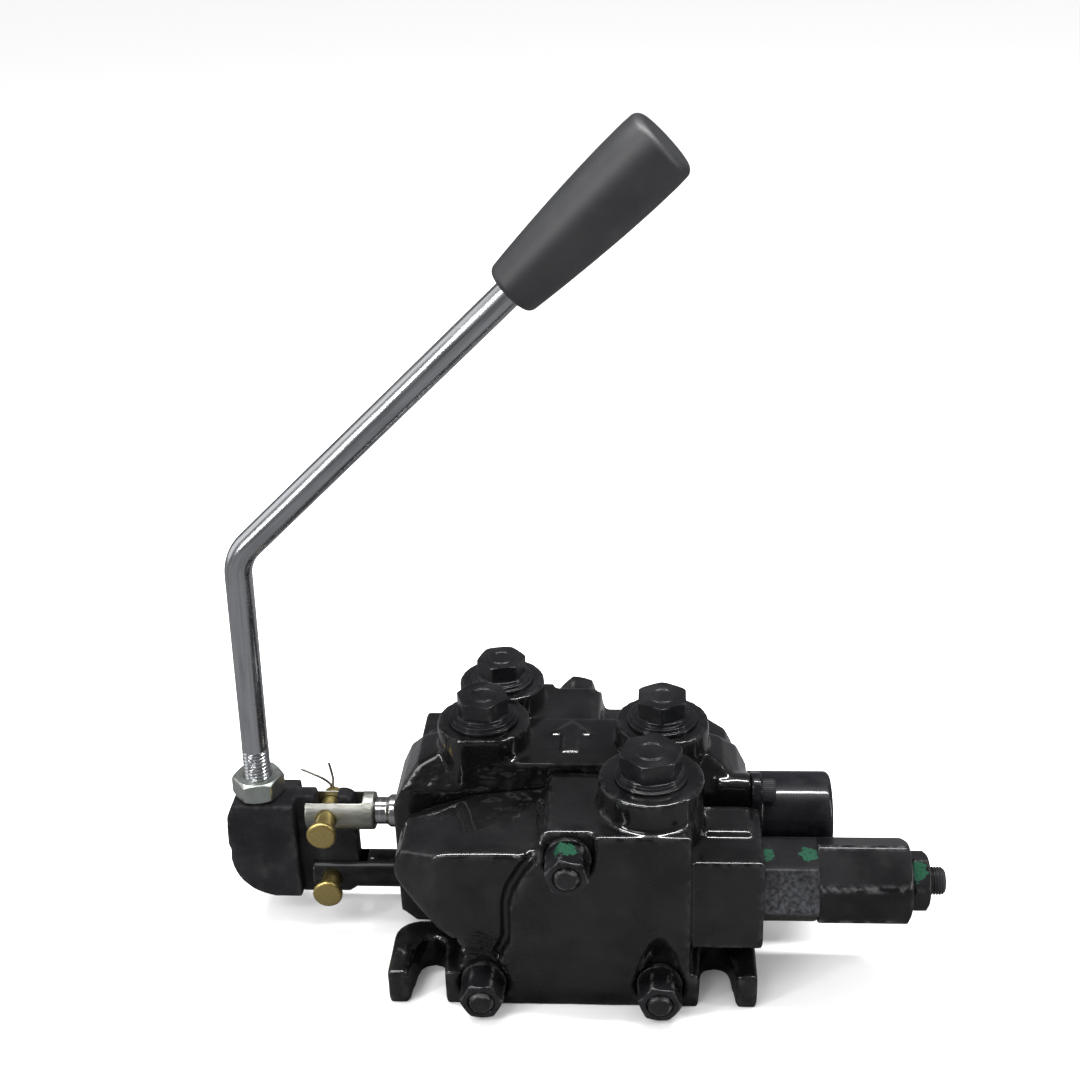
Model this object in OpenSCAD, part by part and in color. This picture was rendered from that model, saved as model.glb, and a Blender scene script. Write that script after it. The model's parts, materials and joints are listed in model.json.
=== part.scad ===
// Hydraulic stack valve: inlet, work and outlet sections on three tie rods,
// with an adjustable relief cartridge, a spring centred spool and a hand lever.
// Frame: Z = 0 is the mounting plane, Y = 0 holds the spool axis, and X = 0 is
// midway between the feet. The inlet section faces -Y and the lever stands at -X.

/* [Sections] */
// Depth of the inlet section along Y
inlet_depth = 51; // [46:1:56]
// Depth of the work section along Y
work_depth = 40; // [38:1:46]
// Depth of the outlet section along Y
outlet_depth = 40; // [38:1:46]
// Height of the tall block of the end sections
block_h = 94; // [92:1:97]
// Height of the plate on the work section
plate_h = 98; // [96:1:100]
// How far the side blocks stand back from the tall block's face
side_setback = 3.5; // [2:0.5:5]

/* [Feet] */
// Half the width over the feet
foot_half_w = 84.5; // [82:0.5:88]
// Thickness of a foot
foot_t = 18; // [14:1:20]
// Depth of a foot
foot_depth = 37; // [34:1:40]
// Distance of a foot slot from the centre plane
slot_x = 66; // [65:0.5:67]
// Radius of the slot's closed end
slot_r = 6.6; // [5:0.1:7]
// Distance of the closed end's centre from the section's face
slot_depth = 18.3; // [14:0.1:20]

/* [Ports] */
// Distance of a work port from the centre plane
work_port_x = 42; // [41:0.5:43]
// Height of the port bosses
boss_h = 108; // [106:1:110]
// Distance of the inlet port from the centre plane
inlet_port_x = 36.5; // [35:0.5:38]

/* [Tie rods] */
// Half the spacing of the two lower tie rods
tie_x = 40.2; // [39:0.1:41]
// Height of the lower tie rods
tie_z = 12; // [11.5:0.1:13]
// Height of the upper tie rod
tie_top_z = 81.4; // [80:0.1:82]
// Tie rod diameter
tie_d = 11.1; // [9:0.1:11.2]
// Width across flats of a tie rod nut
tie_nut_af = 17.5; // [16:0.1:18]

/* [Spool and lever] */
// Height of the spool axis
spool_z = 57; // [56:0.5:58]
// Spool diameter
spool_d = 16; // [14:0.5:16]
// Height of the fixed pivot
pivot_z = 22.5; // [22:0.5:23]
// Distance of both clevis pins from the centre plane
pin_x = 120.5; // [119:0.5:122]
// Clevis pin diameter
pin_d = 9.52; // [9:0.01:9.6]
// Thickness of the bracket's blade
blade_t = 9; // [8:0.5:9.5]
// Diameter of the lever rod
rod_d = 12.7; // [12:0.1:13]
// Lean of the lower part of the lever rod, in degrees
rod_lean = 1.7; // [0:0.1:3]
// Bend of the lever rod, in degrees
rod_bend = 44.9; // [30:0.1:50]
// Height at which the rod's two straight axes cross
bend_z = 195.3; // [180:0.1:200]
// Length of the rod from the bend to the foot of the grip
rod_upper = 177.8; // [150:0.1:180]
// Length of the grip
grip_len = 88; // [80:1:95]

/* [Relief valve] */
// Height of the relief valve's axis
relief_z = 54; // [53:0.5:55]
// Distance of the relief valve's axis from the spool axis
relief_y = 46; // [45:0.5:47]
// Width across flats of the cartridge
relief_af = 34.9; // [32:0.1:35]

/* [Hidden] */

$fn = 48;
eps = 0.01;
y_front = -work_depth / 2 - inlet_depth;
y_back = work_depth / 2 + outlet_depth;
y_work = work_depth / 2;
inlet_port_y = -y_work - inlet_depth / 2 + 2;
outlet_port_y = y_work + outlet_depth / 2;

// Tie rods: bores, seats and stacks of washer and nut
tie_places = [[-tie_x, tie_z], [tie_x, tie_z], [0, tie_top_z]];
tie_bore_r = tie_d / 2 + 0.3;
seat_depth = 4;
washer_t = 2.5;
nut_t = 14;
stud_end = 1.4;
seat_r = 11.6;
front_nut_turns = [0, -8, -13];

// Port plugs: shank, collar and hexagon
big_port_r = 11;
small_port_r = 9.5;
port_depth = 16;

// Galleries and internal bores
gallery_x = 30;
gallery_z = 34;
gallery_r = 5;
tank_x = 60;
check_z = 36;
check_bore_r = 7;
spool_bore_r = spool_d / 2;
spool_r = spool_bore_r - 0.03;
relief_bore_r = 12;

work_left = 85;
work_right = 83;

// Work port bosses and their height above the shoulders
boss_r_work = 22;
boss_r_inlet = 23.8;
boss_r_outlet = 21;

// Spring cap
cap_end = work_right + 39;
cap_r = 20.5;
cap_screw_places = [[-15, spool_z + 24], [15, spool_z - 24]];

// Lever
lever_boss_x = 154;
bracket_top = 67;
bend_x = lever_boss_x - (bend_z - bracket_top) * tan(rod_lean);
bend_r = 22;

module rot_y_axis() { rotate([-90, 0, 0]) children(); }
module along_x(x, y, z) { translate([x, y, z]) rotate([0, 90, 0]) children(); }
module along_y(x, y, z) { translate([x, y, z]) rot_y_axis() children(); }

// A profile in the XZ plane, carried along Y from y0 to y1
module front_extrude(y0, y1) {
    translate([0, y1, 0]) rotate([90, 0, 0]) linear_extrude(y1 - y0) children();
}

// A hexagon prism along Z with a flat facing +Y
module hex_prism(af, h) { cylinder(h = h, d = af / cos(30), $fn = 6); }

// Hexagon with its corners turned off by a cone at the top
module hex_head(af, h) {
    intersection() {
        hex_prism(af, h);
        union() {
            cylinder(h = h - 1.2, r = af);
            translate([0, 0, h - 1.2]) cylinder(h = 1.2, r1 = af * 0.578, r2 = af * 0.5 - 0.4);
        }
    }
}

module torus(r, w) { rotate_extrude() translate([r, 0]) circle(w, $fn = 24); }

// ---- castings ----------------------------------------------------------

// Face outline of the tall machined block of an end section
module block_outline() {
    polygon([
        [-31.5, 0], [54, 0], [54, block_h], [-9, block_h], [-12, 91], [-13.5, 81],
        [-19, 74], [-24.5, 64], [-26.5, 56], [-27, 37], [-31.5, 27]
    ]);
}

// Side block that carries the tank core, rounded off at its outer end
module turret(depth, reach) {
    hull() {
        front_extrude(side_setback, side_setback + 1)
            polygon([[-12, 81], [-58, 81], [-60, 78], [-60, 40], [-52, 33], [-27, 28], [-12, 28]]);
        front_extrude(side_setback + 10, depth - 12)
            polygon([
                [-12, 83], [-60, 80], [-reach + 4, 76], [-reach, 68], [-reach, 62],
                [-72, 48], [-54, 33], [-12, 26]
            ]);
        front_extrude(depth - 1, depth)
            polygon([
                [-12, 86], [-43, 82], [-62, 76], [-reach + 3, 70], [-reach + 3, 60],
                [-54, 33], [-12, 26]
            ]);
    }
}

module foot(side) {
    mirror([side < 0 ? 1 : 0, 0, 0]) difference() {
        linear_extrude(foot_t) union() {
            translate([20, 0]) square([foot_half_w - 20, foot_depth - 12]);
            translate([20, 0]) square([foot_half_w - 32, foot_depth]);
            translate([foot_half_w - 12, foot_depth - 12]) circle(12);
        }
        translate([slot_x, slot_depth, -1]) cylinder(h = foot_t + 2, r = slot_r);
        translate([0, 0, -1]) linear_extrude(foot_t + 2)
            polygon([[slot_x - slot_r, slot_depth], [slot_x - 8.3, -1], [slot_x + 9.3, -1],
                     [slot_x + slot_r, slot_depth]]);
    }
}

// Outside of an end section, its face at y = 0 and its joint face at y = depth
module end_casting(depth, port_y, boss_r, reach, right_reach) {
    front_extrude(0, depth) block_outline();
    turret(depth, reach);
    front_extrude(side_setback, depth - 5)
        polygon([
            [53, 31], [right_reach - 1, 31], [right_reach, 32],
            [right_reach, 77.5], [right_reach - 1, 78.5], [53, 78.5]
        ]);
    front_extrude(side_setback + 20, depth - 7)
        polygon([[53, 70], [right_reach - 3, 70], [right_reach - 5, 81], [53, 81]]);
    foot(1);
    foot(-1);
    along_y(-tie_x, seat_depth, tie_z) cylinder(h = depth - seat_depth, r = tie_z - 1);
    front_extrude(seat_depth, depth) polygon([[-50, 0], [-28, 0], [-28, 34], [-50, 34]]);
    // the boss stops at the joint face
    intersection() {
        translate([inlet_port_x, port_y, 60]) cylinder(h = boss_h - 60, r = boss_r);
        translate([-90, -2, 0]) cube([180, depth + 2, 150]);
    }
}

module tie_seat_cuts(depth) {
    for (p = tie_places) {
        along_y(p[0], -1, p[1]) cylinder(h = seat_depth + 1, r = seat_r);
        along_y(p[0], -1, p[1]) cylinder(h = depth + 2, r = tie_bore_r);
    }
    // clearance for a socket above the lower right nut and over the top nut
    translate([tie_x, 0, tie_z]) rotate([14, 0, 0]) translate([0, -1.5, 0]) cylinder(h = 32, r = 8.5);
    translate([-seat_r, -1, tie_top_z]) cube([2 * seat_r, seat_depth + 1, 20]);
}

module port_hole(x, y, r, drill_r, depth) {
    translate([x, y, boss_h - port_depth]) cylinder(h = port_depth + 1, r = r);
    translate([x, y, boss_h - depth]) cylinder(h = depth, r = drill_r);
}

module inlet_section() {
    color([0.05, 0.05, 0.06]) difference() {
        translate([0, y_front, 0]) end_casting(inlet_depth, inlet_port_y - y_front, boss_r_inlet, 80, 86.5);
        translate([0, y_front, 0]) tie_seat_cuts(inlet_depth);
        port_hole(inlet_port_x, inlet_port_y, big_port_r, 6.5, boss_h - gallery_z + 4);
        along_y(gallery_x, inlet_port_y, gallery_z) cylinder(h = inlet_depth, r = gallery_r);
        along_y(-tank_x, inlet_port_y, spool_z) cylinder(h = inlet_depth, r = gallery_r);
        along_y(tank_x, inlet_port_y, spool_z) cylinder(h = inlet_depth, r = gallery_r);
        along_x(46, -relief_y, relief_z) cylinder(h = 60, r = relief_bore_r);
        along_x(inlet_port_x, -relief_y, relief_z) cylinder(h = 20, r = 6);
        seal_grooves(-y_work - 1.4);
    }
}

// Rear section: the inlet casting turned half a turn, without a relief cavity
module outlet_section() {
    color([0.05, 0.05, 0.06]) difference() {
        translate([0, y_back, 0]) rotate(180)
            end_casting(outlet_depth, y_back - outlet_port_y, boss_r_outlet, 78, 78);
        translate([0, y_back, 0]) rotate(180) tie_seat_cuts(outlet_depth);
        port_hole(-inlet_port_x, outlet_port_y, small_port_r, 6.5, boss_h - spool_z + 3);
        along_y(-tank_x, y_work - 1, spool_z) cylinder(h = outlet_depth / 2, r = gallery_r);
        along_y(tank_x, y_work - 1, spool_z) cylinder(h = outlet_depth / 2, r = gallery_r);
        along_x(-tank_x, outlet_port_y - 2, spool_z) cylinder(h = 2 * tank_x, r = gallery_r);
    }
}

// Face seals of the galleries, sunk in the section in front of each joint
module seal_grooves(y) {
    for (g = [[gallery_x, gallery_z], [-tank_x, spool_z], [tank_x, spool_z]])
        along_y(g[0], y, g[1]) cylinder(h = 3, r = gallery_r + 3);
}

module section_seal_rings() {
    color([0.1, 0.1, 0.1]) for (y = [-y_work, y_work])
        for (g = [[gallery_x, gallery_z], [-tank_x, spool_z], [tank_x, spool_z]])
            if (y < 0 || g[1] == spool_z) along_y(g[0], y - 0.7, g[1]) torus(gallery_r + 2.1, 0.69);
}

module work_outline() {
    polygon([
        [-54, 0], [54, 0], [54, 22], [60, 30], [work_right, 30], [work_right, 73], [78, 84],
        [70, 93], [64, 97], [-64, 97], [-73, 93], [-80, 84], [-work_left, 73],
        [-work_left, 12], [-78, 6], [-54, 6]
    ]);
}

// Diamond outline of the spring cap's flange, along X from x
module cap_flange(x, h) {
    translate([x, 0, 0]) rotate([90, 0, 90]) linear_extrude(h) hull() {
        for (p = cap_screw_places) translate(p) circle(8);
        translate([0, spool_z]) circle(cap_r);
    }
}

module flow_arrow() {
    translate([-1, 1, plate_h - 1]) linear_extrude(2.2)
        polygon([[0, 15], [-9, 4], [-4, 4], [-4, -11], [4, -11], [4, 4], [9, 4]]);
}

module work_section() {
    color([0.05, 0.05, 0.06]) difference() {
        union() {
            intersection() {
                front_extrude(-y_work, y_work) work_outline();
                rotate([90, 0, 90]) translate([0, 0, -90]) linear_extrude(180)
                    polygon([[-y_work, 0], [y_work, 0], [y_work, 83], [10, 97], [-10, 97], [-y_work, 83]]);
            }
            translate([-work_port_x, -y_work, 60]) cube([2 * work_port_x, work_depth, plate_h - 60]);
            intersection() {
                for (s = [-1, 1]) translate([s * work_port_x, 0, 60])
                    cylinder(h = boss_h + 2 - 60, r = boss_r_work);
                translate([-90, -y_work, 0]) cube([180, work_depth, 150]);
            }
            flow_arrow();
            intersection() {
                cap_flange(work_right - 16, 16);
                translate([0, -y_work, 0]) cube([100, work_depth, 100]);
            }
        }
        for (s = [-1, 1]) {
            translate([s * work_port_x, 0, boss_h + 2 - port_depth])
                cylinder(h = port_depth + 1, r = small_port_r);
            translate([s * work_port_x, 0, spool_z]) cylinder(h = boss_h - spool_z, r = 6.5);
            along_x(s * work_port_x - 6, 0, spool_z) cylinder(h = 12, r = 12);
        }
        for (s = [-1, 1]) {
            along_x(s * tank_x - 4, 0, spool_z) cylinder(h = 8, r = 12);
            along_y(s * tank_x, -y_work - 1, spool_z) cylinder(h = work_depth + 2, r = gallery_r);
        }
        along_x(-work_left - 1, 0, spool_z) cylinder(h = work_left + work_right + 2, r = spool_bore_r);
        along_x(-7, 0, spool_z) cylinder(h = 14, r = 12);
        along_x(-work_left + 6, 0, spool_z) cylinder(h = 3, r = spool_bore_r + 2.6);
        along_x(work_right - 14, 0, spool_z) cylinder(h = 3, r = spool_bore_r + 2.6);
        along_x(work_right - 8, 0, spool_z) cylinder(h = 9, r = 15.8);
        along_x(-work_left - 1, 0, pivot_z) cylinder(h = 21, r = 6);
        for (p = cap_screw_places) along_x(work_right - 14, p[0], p[1]) cylinder(h = 15, r = 3);
        for (p = tie_places) along_y(p[0], -y_work - 1, p[1]) cylinder(h = work_depth + 2, r = tie_bore_r);
        // pressure gallery, load check bore and the way up to the spool
        along_y(gallery_x, -y_work - 1, gallery_z) cylinder(h = 18, r = gallery_r);
        along_x(0, -y_work + 12, check_z) cylinder(h = gallery_x, r = 4);
        along_y(0, -y_work + 8, check_z) cylinder(h = 16, r = 4.5);
        along_y(0, 0, check_z) cylinder(h = y_work + 1, r = check_bore_r);
        translate([0, 8, check_z]) cylinder(h = spool_z - check_z - 6, r = 4);
        seal_grooves_rear();
    }
}

module seal_grooves_rear() {
    for (s = [-1, 1]) along_y(s * tank_x, y_work - 1.4, spool_z) cylinder(h = 3, r = gallery_r + 3);
}

// ---- plugs --------------------------------------------------------------

// Port plug: shank, thin flange, two collars of one step each, and a hexagon head
module port_plug(shank_r, flange_r, af, step, head_h, turn) {
    rotate(turn) {
        translate([0, 0, -12]) cylinder(h = 12 + eps, r = shank_r);
        cylinder(h = step, r = flange_r);
        translate([0, 0, step]) cylinder(h = step, r = flange_r - 1.4);
        translate([0, 0, 2 * step]) cylinder(h = step, r = af / 2 + 1.6);
        translate([0, 0, 3 * step - eps]) hex_head(af, head_h);
    }
}

module inlet_port_plug() {
    color([0.07, 0.07, 0.08]) translate([inlet_port_x, inlet_port_y, boss_h])
        port_plug(big_port_r - 0.05, 16.5, 25.4, 1.45, 8.8, 15);
}

module outlet_port_plug() {
    color([0.07, 0.07, 0.08]) translate([-inlet_port_x, outlet_port_y, boss_h])
        port_plug(small_port_r - 0.05, 15.6, 21.2, 1.5, 7.7, 11);
}

module work_port_plug(side, turn) {
    color([0.07, 0.07, 0.08]) translate([side * work_port_x, 0, boss_h + 2])
        port_plug(small_port_r - 0.05, 16.5, 22.2, 1.7, 8, turn);
}

module port_plug_o_rings() {
    color([0.1, 0.1, 0.1]) {
        translate([inlet_port_x, inlet_port_y, boss_h - 14]) torus(big_port_r - 1.8, 1);
        translate([-inlet_port_x, outlet_port_y, boss_h - 14]) torus(small_port_r - 1.8, 1);
        for (s = [-1, 1]) translate([s * work_port_x, 0, boss_h - 12.4]) torus(small_port_r - 1.8, 1);
    }
}

// ---- tie rods -------------------------------------------------------------

tie_end = seat_depth - washer_t - nut_t - stud_end;

module tie_rods() {
    color([0.25, 0.25, 0.27]) for (p = tie_places) {
        along_y(p[0], y_front + tie_end + 1, p[1])
            cylinder(h = y_back - y_front - 2 * tie_end - 2, d = tie_d);
        along_y(p[0], y_front + tie_end, p[1]) cylinder(h = 1, d1 = tie_d - 2, d2 = tie_d);
        along_y(p[0], y_back - tie_end - 1, p[1]) cylinder(h = 1, d1 = tie_d, d2 = tie_d - 2);
    }
}

module tie_nut() {
    difference() {
        hex_head(tie_nut_af, nut_t);
        translate([0, 0, -1]) cylinder(h = nut_t + 2, d = tie_d + 0.04);
    }
}

module tie_rod_nuts_front() {
    color([0.06, 0.06, 0.07]) for (i = [0:2])
        translate([tie_places[i][0], y_front + seat_depth - washer_t, tie_places[i][1]])
            rotate([90, 0, 0]) rotate(front_nut_turns[i]) tie_nut();
}

module tie_rod_nuts_rear() {
    color([0.06, 0.06, 0.07]) for (p = tie_places)
        translate([p[0], y_back - seat_depth + washer_t, p[1]]) rotate([-90, 0, 0]) rotate(14) tie_nut();
}

module tie_rod_washers() {
    color([0.06, 0.06, 0.07]) for (p = tie_places)
        for (y = [y_front + seat_depth - washer_t, y_back - seat_depth])
            along_y(p[0], y, p[1]) difference() {
                cylinder(h = washer_t, r = 10.4);
                translate([0, 0, -1]) cylinder(h = washer_t + 2, d = tie_d + 0.4);
            }
}

// ---- relief cartridge -------------------------------------------------------

relief_face = 86.5;
relief_hex_end = 111;
bonnet_end = 152.5;
jam_nut_t = 8.5;
screw_end = 168.7;
screw_d = 12.7;
cartridge_r = relief_bore_r - 0.05;

module relief_body() {
    color([0.2, 0.2, 0.19]) difference() {
        union() {
            along_x(relief_face, -relief_y, relief_z) rotate(43)
                hex_head(relief_af, relief_hex_end - relief_face);
            along_x(50, -relief_y, relief_z) cylinder(h = relief_face - 50 + eps, r = cartridge_r);
            along_x(46.2, -relief_y, relief_z) cylinder(h = 4, r = 8);
        }
        along_x(49, -relief_y, relief_z) cylinder(h = 70, r = 6.5);
        along_x(45, -relief_y, relief_z) cylinder(h = 6, r = 4);
        along_y(tank_x, -relief_y - 13, relief_z) cylinder(h = 26, r = 3);
        along_x(74, -relief_y, relief_z) difference() {
            cylinder(h = 3.4, r = 13);
            translate([0, 0, -1]) cylinder(h = 6, r = cartridge_r - 1.8);
        }
        along_x(99, -relief_y, relief_z) cylinder(h = 20, r = 11);
    }
}

module relief_o_ring() {
    color([0.1, 0.1, 0.1]) along_x(75.7, -relief_y, relief_z) torus(cartridge_r - 0.9, 0.88);
}

module relief_bonnet() {
    color([0.06, 0.06, 0.07]) difference() {
        union() {
            along_x(relief_hex_end, -relief_y, relief_z) rotate(5)
                hex_head(relief_af, bonnet_end - relief_hex_end);
            along_x(101, -relief_y, relief_z) cylinder(h = 11, r = 10.95);
        }
        along_x(100, -relief_y, relief_z) cylinder(h = 42, r = 7.2);
        along_x(140, -relief_y, relief_z) cylinder(h = 20, r = screw_d / 2 + 0.04);
    }
}

module relief_jam_nut() {
    color([0.06, 0.06, 0.07]) difference() {
        along_x(bonnet_end, -relief_y, relief_z) rotate(12) hex_head(23.8, jam_nut_t);
        along_x(bonnet_end - 1, -relief_y, relief_z) cylinder(h = jam_nut_t + 2, r = screw_d / 2 + 0.04);
    }
}

module relief_adjusting_screw() {
    color([0.1, 0.1, 0.11]) difference() {
        union() {
            along_x(136, -relief_y, relief_z) cylinder(h = screw_end - 137, d = screw_d);
            along_x(screw_end - 1, -relief_y, relief_z) cylinder(h = 1, d1 = screw_d, d2 = screw_d - 2.4);
        }
        along_x(screw_end - 5, -relief_y, relief_z) cylinder(h = 6, d = 5.5, $fn = 6);
    }
}

module relief_poppet() {
    color([0.6, 0.6, 0.62]) {
        along_x(50.6, -relief_y, relief_z) cylinder(h = 2.4, r1 = 3.6, r2 = 6.4);
        along_x(53, -relief_y, relief_z) cylinder(h = 3, r = 6.4);
        along_x(56, -relief_y, relief_z) cylinder(h = 20, r = 2.6);
        along_x(76, -relief_y, relief_z) cylinder(h = 12, r = 6.4);
    }
}

module relief_spring_button() {
    color([0.6, 0.6, 0.62]) {
        along_x(132, -relief_y, relief_z) cylinder(h = 3.9, r = 7);
        along_x(126, -relief_y, relief_z) cylinder(h = 6 + eps, r = 3);
    }
}

// Coil spring along X: a ring per turn, swept as one tube by its own function
module coil_x(x0, x1, r, w, turns, y, z) {
    sides = 6;
    steps = 10 * turns;
    pitch = (x1 - x0 - 2 * w) / turns;
    function centre(i) = [x0 + w + pitch * i / 10, y + r * cos(36 * i), z + r * sin(36 * i)];
    pts = [for (i = [0:steps]) for (j = [0:sides - 1])
        let (c = centre(i), a = 36 * i, b = 360 * j / sides)
        c + w * (cos(b) * [0, cos(a), sin(a)] + sin(b) * [1, 0, 0])];
    walls = [for (i = [0:steps - 1]) for (j = [0:sides - 1])
        let (a = i * sides + j, b = i * sides + (j + 1) % sides) [a, a + sides, b + sides, b]];
    caps = [[for (j = [0:sides - 1]) j], [for (j = [sides - 1:-1:0]) steps * sides + j]];
    polyhedron(pts, concat(walls, caps));
}

module relief_spring() {
    color([0.55, 0.55, 0.56]) coil_x(88.2, 131.8, 4.8, 1, 8, -relief_y, relief_z);
}

// ---- spool group ----------------------------------------------------------------

neck_r = 6.6;
neck_x = 90;

module spool() {
    color([0.75, 0.75, 0.77]) difference() {
        union() {
            along_x(-neck_x, 0, spool_z) cylinder(h = neck_x + work_right, r = spool_r);
            along_x(-97.5, 0, spool_z) cylinder(h = 97.5 - neck_x + eps, r = neck_r);
        }
        for (x = [-54, -28, 10, 36])
            along_x(x, 0, spool_z) difference() {
                cylinder(h = 18, r = 9);
                translate([0, 0, -1]) cylinder(h = 20, r = 5);
            }
        along_x(work_right - 14, 0, spool_z) cylinder(h = 15, r = 3.45);
    }
}

outer_seat_x = work_right + 19;

module spool_bolt() {
    color([0.3, 0.3, 0.3]) {
        along_x(work_right - 12, 0, spool_z)
            cylinder(h = outer_seat_x + 2.6 - work_right + 12 + eps, r = 3.4);
        along_x(outer_seat_x + 2.6, 0, spool_z) cylinder(h = 5, r = 6.5);
    }
}

module spring_seat(x) {
    along_x(x, 0, spool_z) difference() {
        cylinder(h = 2.5, r = 15.4);
        translate([0, 0, -1]) cylinder(h = 5, r = 3.6);
    }
}

module spring_seat_inner() { color([0.6, 0.6, 0.6]) spring_seat(work_right + 0.05); }
module spring_seat_outer() { color([0.6, 0.6, 0.6]) spring_seat(outer_seat_x); }

module centring_spring() {
    color([0.5, 0.5, 0.52]) coil_x(work_right + 2.7, outer_seat_x - 0.1, 12, 1.4, 4, 0, spool_z);
}

module spring_cap() {
    color([0.04, 0.04, 0.05]) difference() {
        union() {
            along_x(work_right, 0, spool_z) cylinder(h = cap_end - work_right - 1.5, r = cap_r);
            along_x(cap_end - 1.5, 0, spool_z) cylinder(h = 1.5, r1 = cap_r, r2 = cap_r - 1.5);
            cap_flange(work_right, 5);
        }
        along_x(work_right - 1, 0, spool_z) cylinder(h = cap_end - work_right - 2.5, r = 16.2);
        for (p = cap_screw_places) along_x(work_right - 1, p[0], p[1]) cylinder(h = 8, r = 3.3);
    }
}

module spring_cap_screws() {
    color([0.05, 0.05, 0.06]) for (p = cap_screw_places) {
        along_x(work_right - 12, p[0], p[1]) cylinder(h = 17 + eps, r = 2.95);
        along_x(work_right + 5, p[0], p[1]) difference() {
            cylinder(h = 6.5, r = 5.3);
            translate([0, 0, 3]) cylinder(h = 5, d = 5.8, $fn = 6);
        }
    }
}

module spring_cap_seal() {
    color([0.1, 0.1, 0.1]) along_x(work_right - 12.5, 0, spool_z) torus(spool_bore_r + 1.3, 1.25);
}

module spool_seal_rings() {
    color([0.1, 0.1, 0.1]) along_x(-work_left + 7.5, 0, spool_z) torus(spool_bore_r + 1.3, 1.25);
}

// ---- load check --------------------------------------------------------------------

module load_check_poppet() {
    color([0.6, 0.6, 0.62]) difference() {
        union() {
            along_y(0, 0.4, check_z) cylinder(h = 1.6, r1 = 4.2, r2 = 5.8);
            along_y(0, 2, check_z) cylinder(h = 9, r = check_bore_r - 0.05);
        }
        along_y(0, 5, check_z) cylinder(h = 7, r = 4.8);
        translate([0, 8, check_z]) cylinder(h = 9, r = 2.5);
    }
}

// Flat coil that stands on the outlet section's face
module load_check_spring() {
    color([0.5, 0.5, 0.52]) rotate([0, 0, 90]) coil_x(5.1, y_work - 0.1, 3.9, 0.6, 5, 0, check_z);
}

// ---- lever linkage --------------------------------------------------------------------

fork_end = pin_x + 10.5;
slot_floor = 103;

module spool_clevis() {
    color([0.75, 0.75, 0.77]) difference() {
        along_x(-fork_end, 0, spool_z) cylinder(h = fork_end - 97.5, r = 9.3);
        translate([-fork_end - 1, -blade_t / 2 - 0.5, spool_z - 15])
            cube([fork_end + 1 - slot_floor, blade_t + 1, 30]);
        along_y(-pin_x, -15, spool_z) cylinder(h = 30, d = pin_d + 0.06);
    }
}

module pivot_lug() {
    color([0.05, 0.05, 0.06]) difference() {
        union() {
            along_x(-fork_end + 1, 0, pivot_z) cylinder(h = fork_end - 1 - work_left, r = 9.2);
            along_x(-work_left - eps, 0, pivot_z) cylinder(h = 18, r = 5.95);
        }
        translate([-fork_end - 1, -blade_t / 2 - 0.5, pivot_z - 15])
            cube([fork_end + 1 - slot_floor, blade_t + 1, 30]);
        along_y(-pin_x, -15, pivot_z) cylinder(h = 30, d = pin_d + 0.06);
    }
}

cotter_y = 11.3;

module clevis_pin(z) {
    color([0.72, 0.55, 0.2]) difference() {
        union() {
            along_y(-pin_x, -19.5, z) cylinder(h = 33, d = pin_d);
            along_y(-pin_x, -22.5, z) cylinder(h = 1, d1 = 13.4, d2 = 14.4);
            along_y(-pin_x, -21.5, z) cylinder(h = 2 + eps, d = 14.4);
            along_y(-pin_x, 13.5, z) cylinder(h = 1.2, d1 = pin_d, d2 = pin_d - 2);
        }
        translate([-pin_x, cotter_y, z - 10]) cylinder(h = 20, r = 1.1);
    }
}

module clevis_pin_upper() { clevis_pin(spool_z); }
module clevis_pin_lower() { clevis_pin(pivot_z); }

// Split cotter: an eye under the pin and two legs, one straight and one folded back
module cotter(z, folded_leg) {
    color([0.3, 0.28, 0.24]) translate([-pin_x, cotter_y, z]) {
        translate([0, 0, -6]) cylinder(h = 16, r = 0.9, $fn = 16);
        translate([0, 0, -8.2]) rotate([90, 0, 0]) torus(2.4, 0.8);
        translate([0, 0, 9]) rotate([0, 6, 0]) cylinder(h = 11, r = 0.7, $fn = 16);
        translate([0, 0, 9]) rotate([0, -62, 0]) cylinder(h = folded_leg, r = 0.7, $fn = 16);
    }
}

module cotter_upper() { cotter(spool_z, 17); }
// the lower leg is cut short to clear the bracket block
module cotter_lower() { cotter(pivot_z, 8); }

bracket_in = 135.5;
bracket_out = 168.5;
bracket_half = 12.5;

module handle_bracket() {
    color([0.05, 0.05, 0.055]) difference() {
        union() {
            front_extrude(-bracket_half, bracket_half) union() {
                polygon([
                    [-bracket_in, 13.5], [-bracket_in, bracket_top], [-bracket_out + 3, bracket_top],
                    [-bracket_out, 60], [-bracket_out - 1, 44], [-bracket_out + 8, 24],
                    [-bracket_out + 19, 13.5]
                ]);
                intersection() {
                    translate([-bracket_out + 22, 36]) circle(22.4);
                    translate([-bracket_out - 1, 13]) square([bracket_out + 1 - bracket_in, 50]);
                }
            }
            front_extrude(-blade_t / 2, blade_t / 2)
                polygon([
                    [-bracket_in - 2, 10.8], [-113, 10.8], [-108.5, 14], [-107, 22],
                    [-107, 62], [-108, 66.5], [-111, 68], [-bracket_in - 2, 68]
                ]);
        }
        along_y(-pin_x, -15, pivot_z) cylinder(h = 30, d = pin_d + 0.08);
        // the upper pin runs in a slot that is open at the top
        along_y(-pin_x, -15, spool_z - 0.7) cylinder(h = 30, d = pin_d + 0.8);
        translate([-pin_x - pin_d / 2 - 0.4, -15, spool_z - 0.7]) cube([pin_d + 0.8, 30, 20]);
        translate([-lever_boss_x, 0, bracket_top]) rotate([0, rod_lean, 0]) translate([0, 0, -24])
            cylinder(h = 30, r = 6.4);
    }
}

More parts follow.
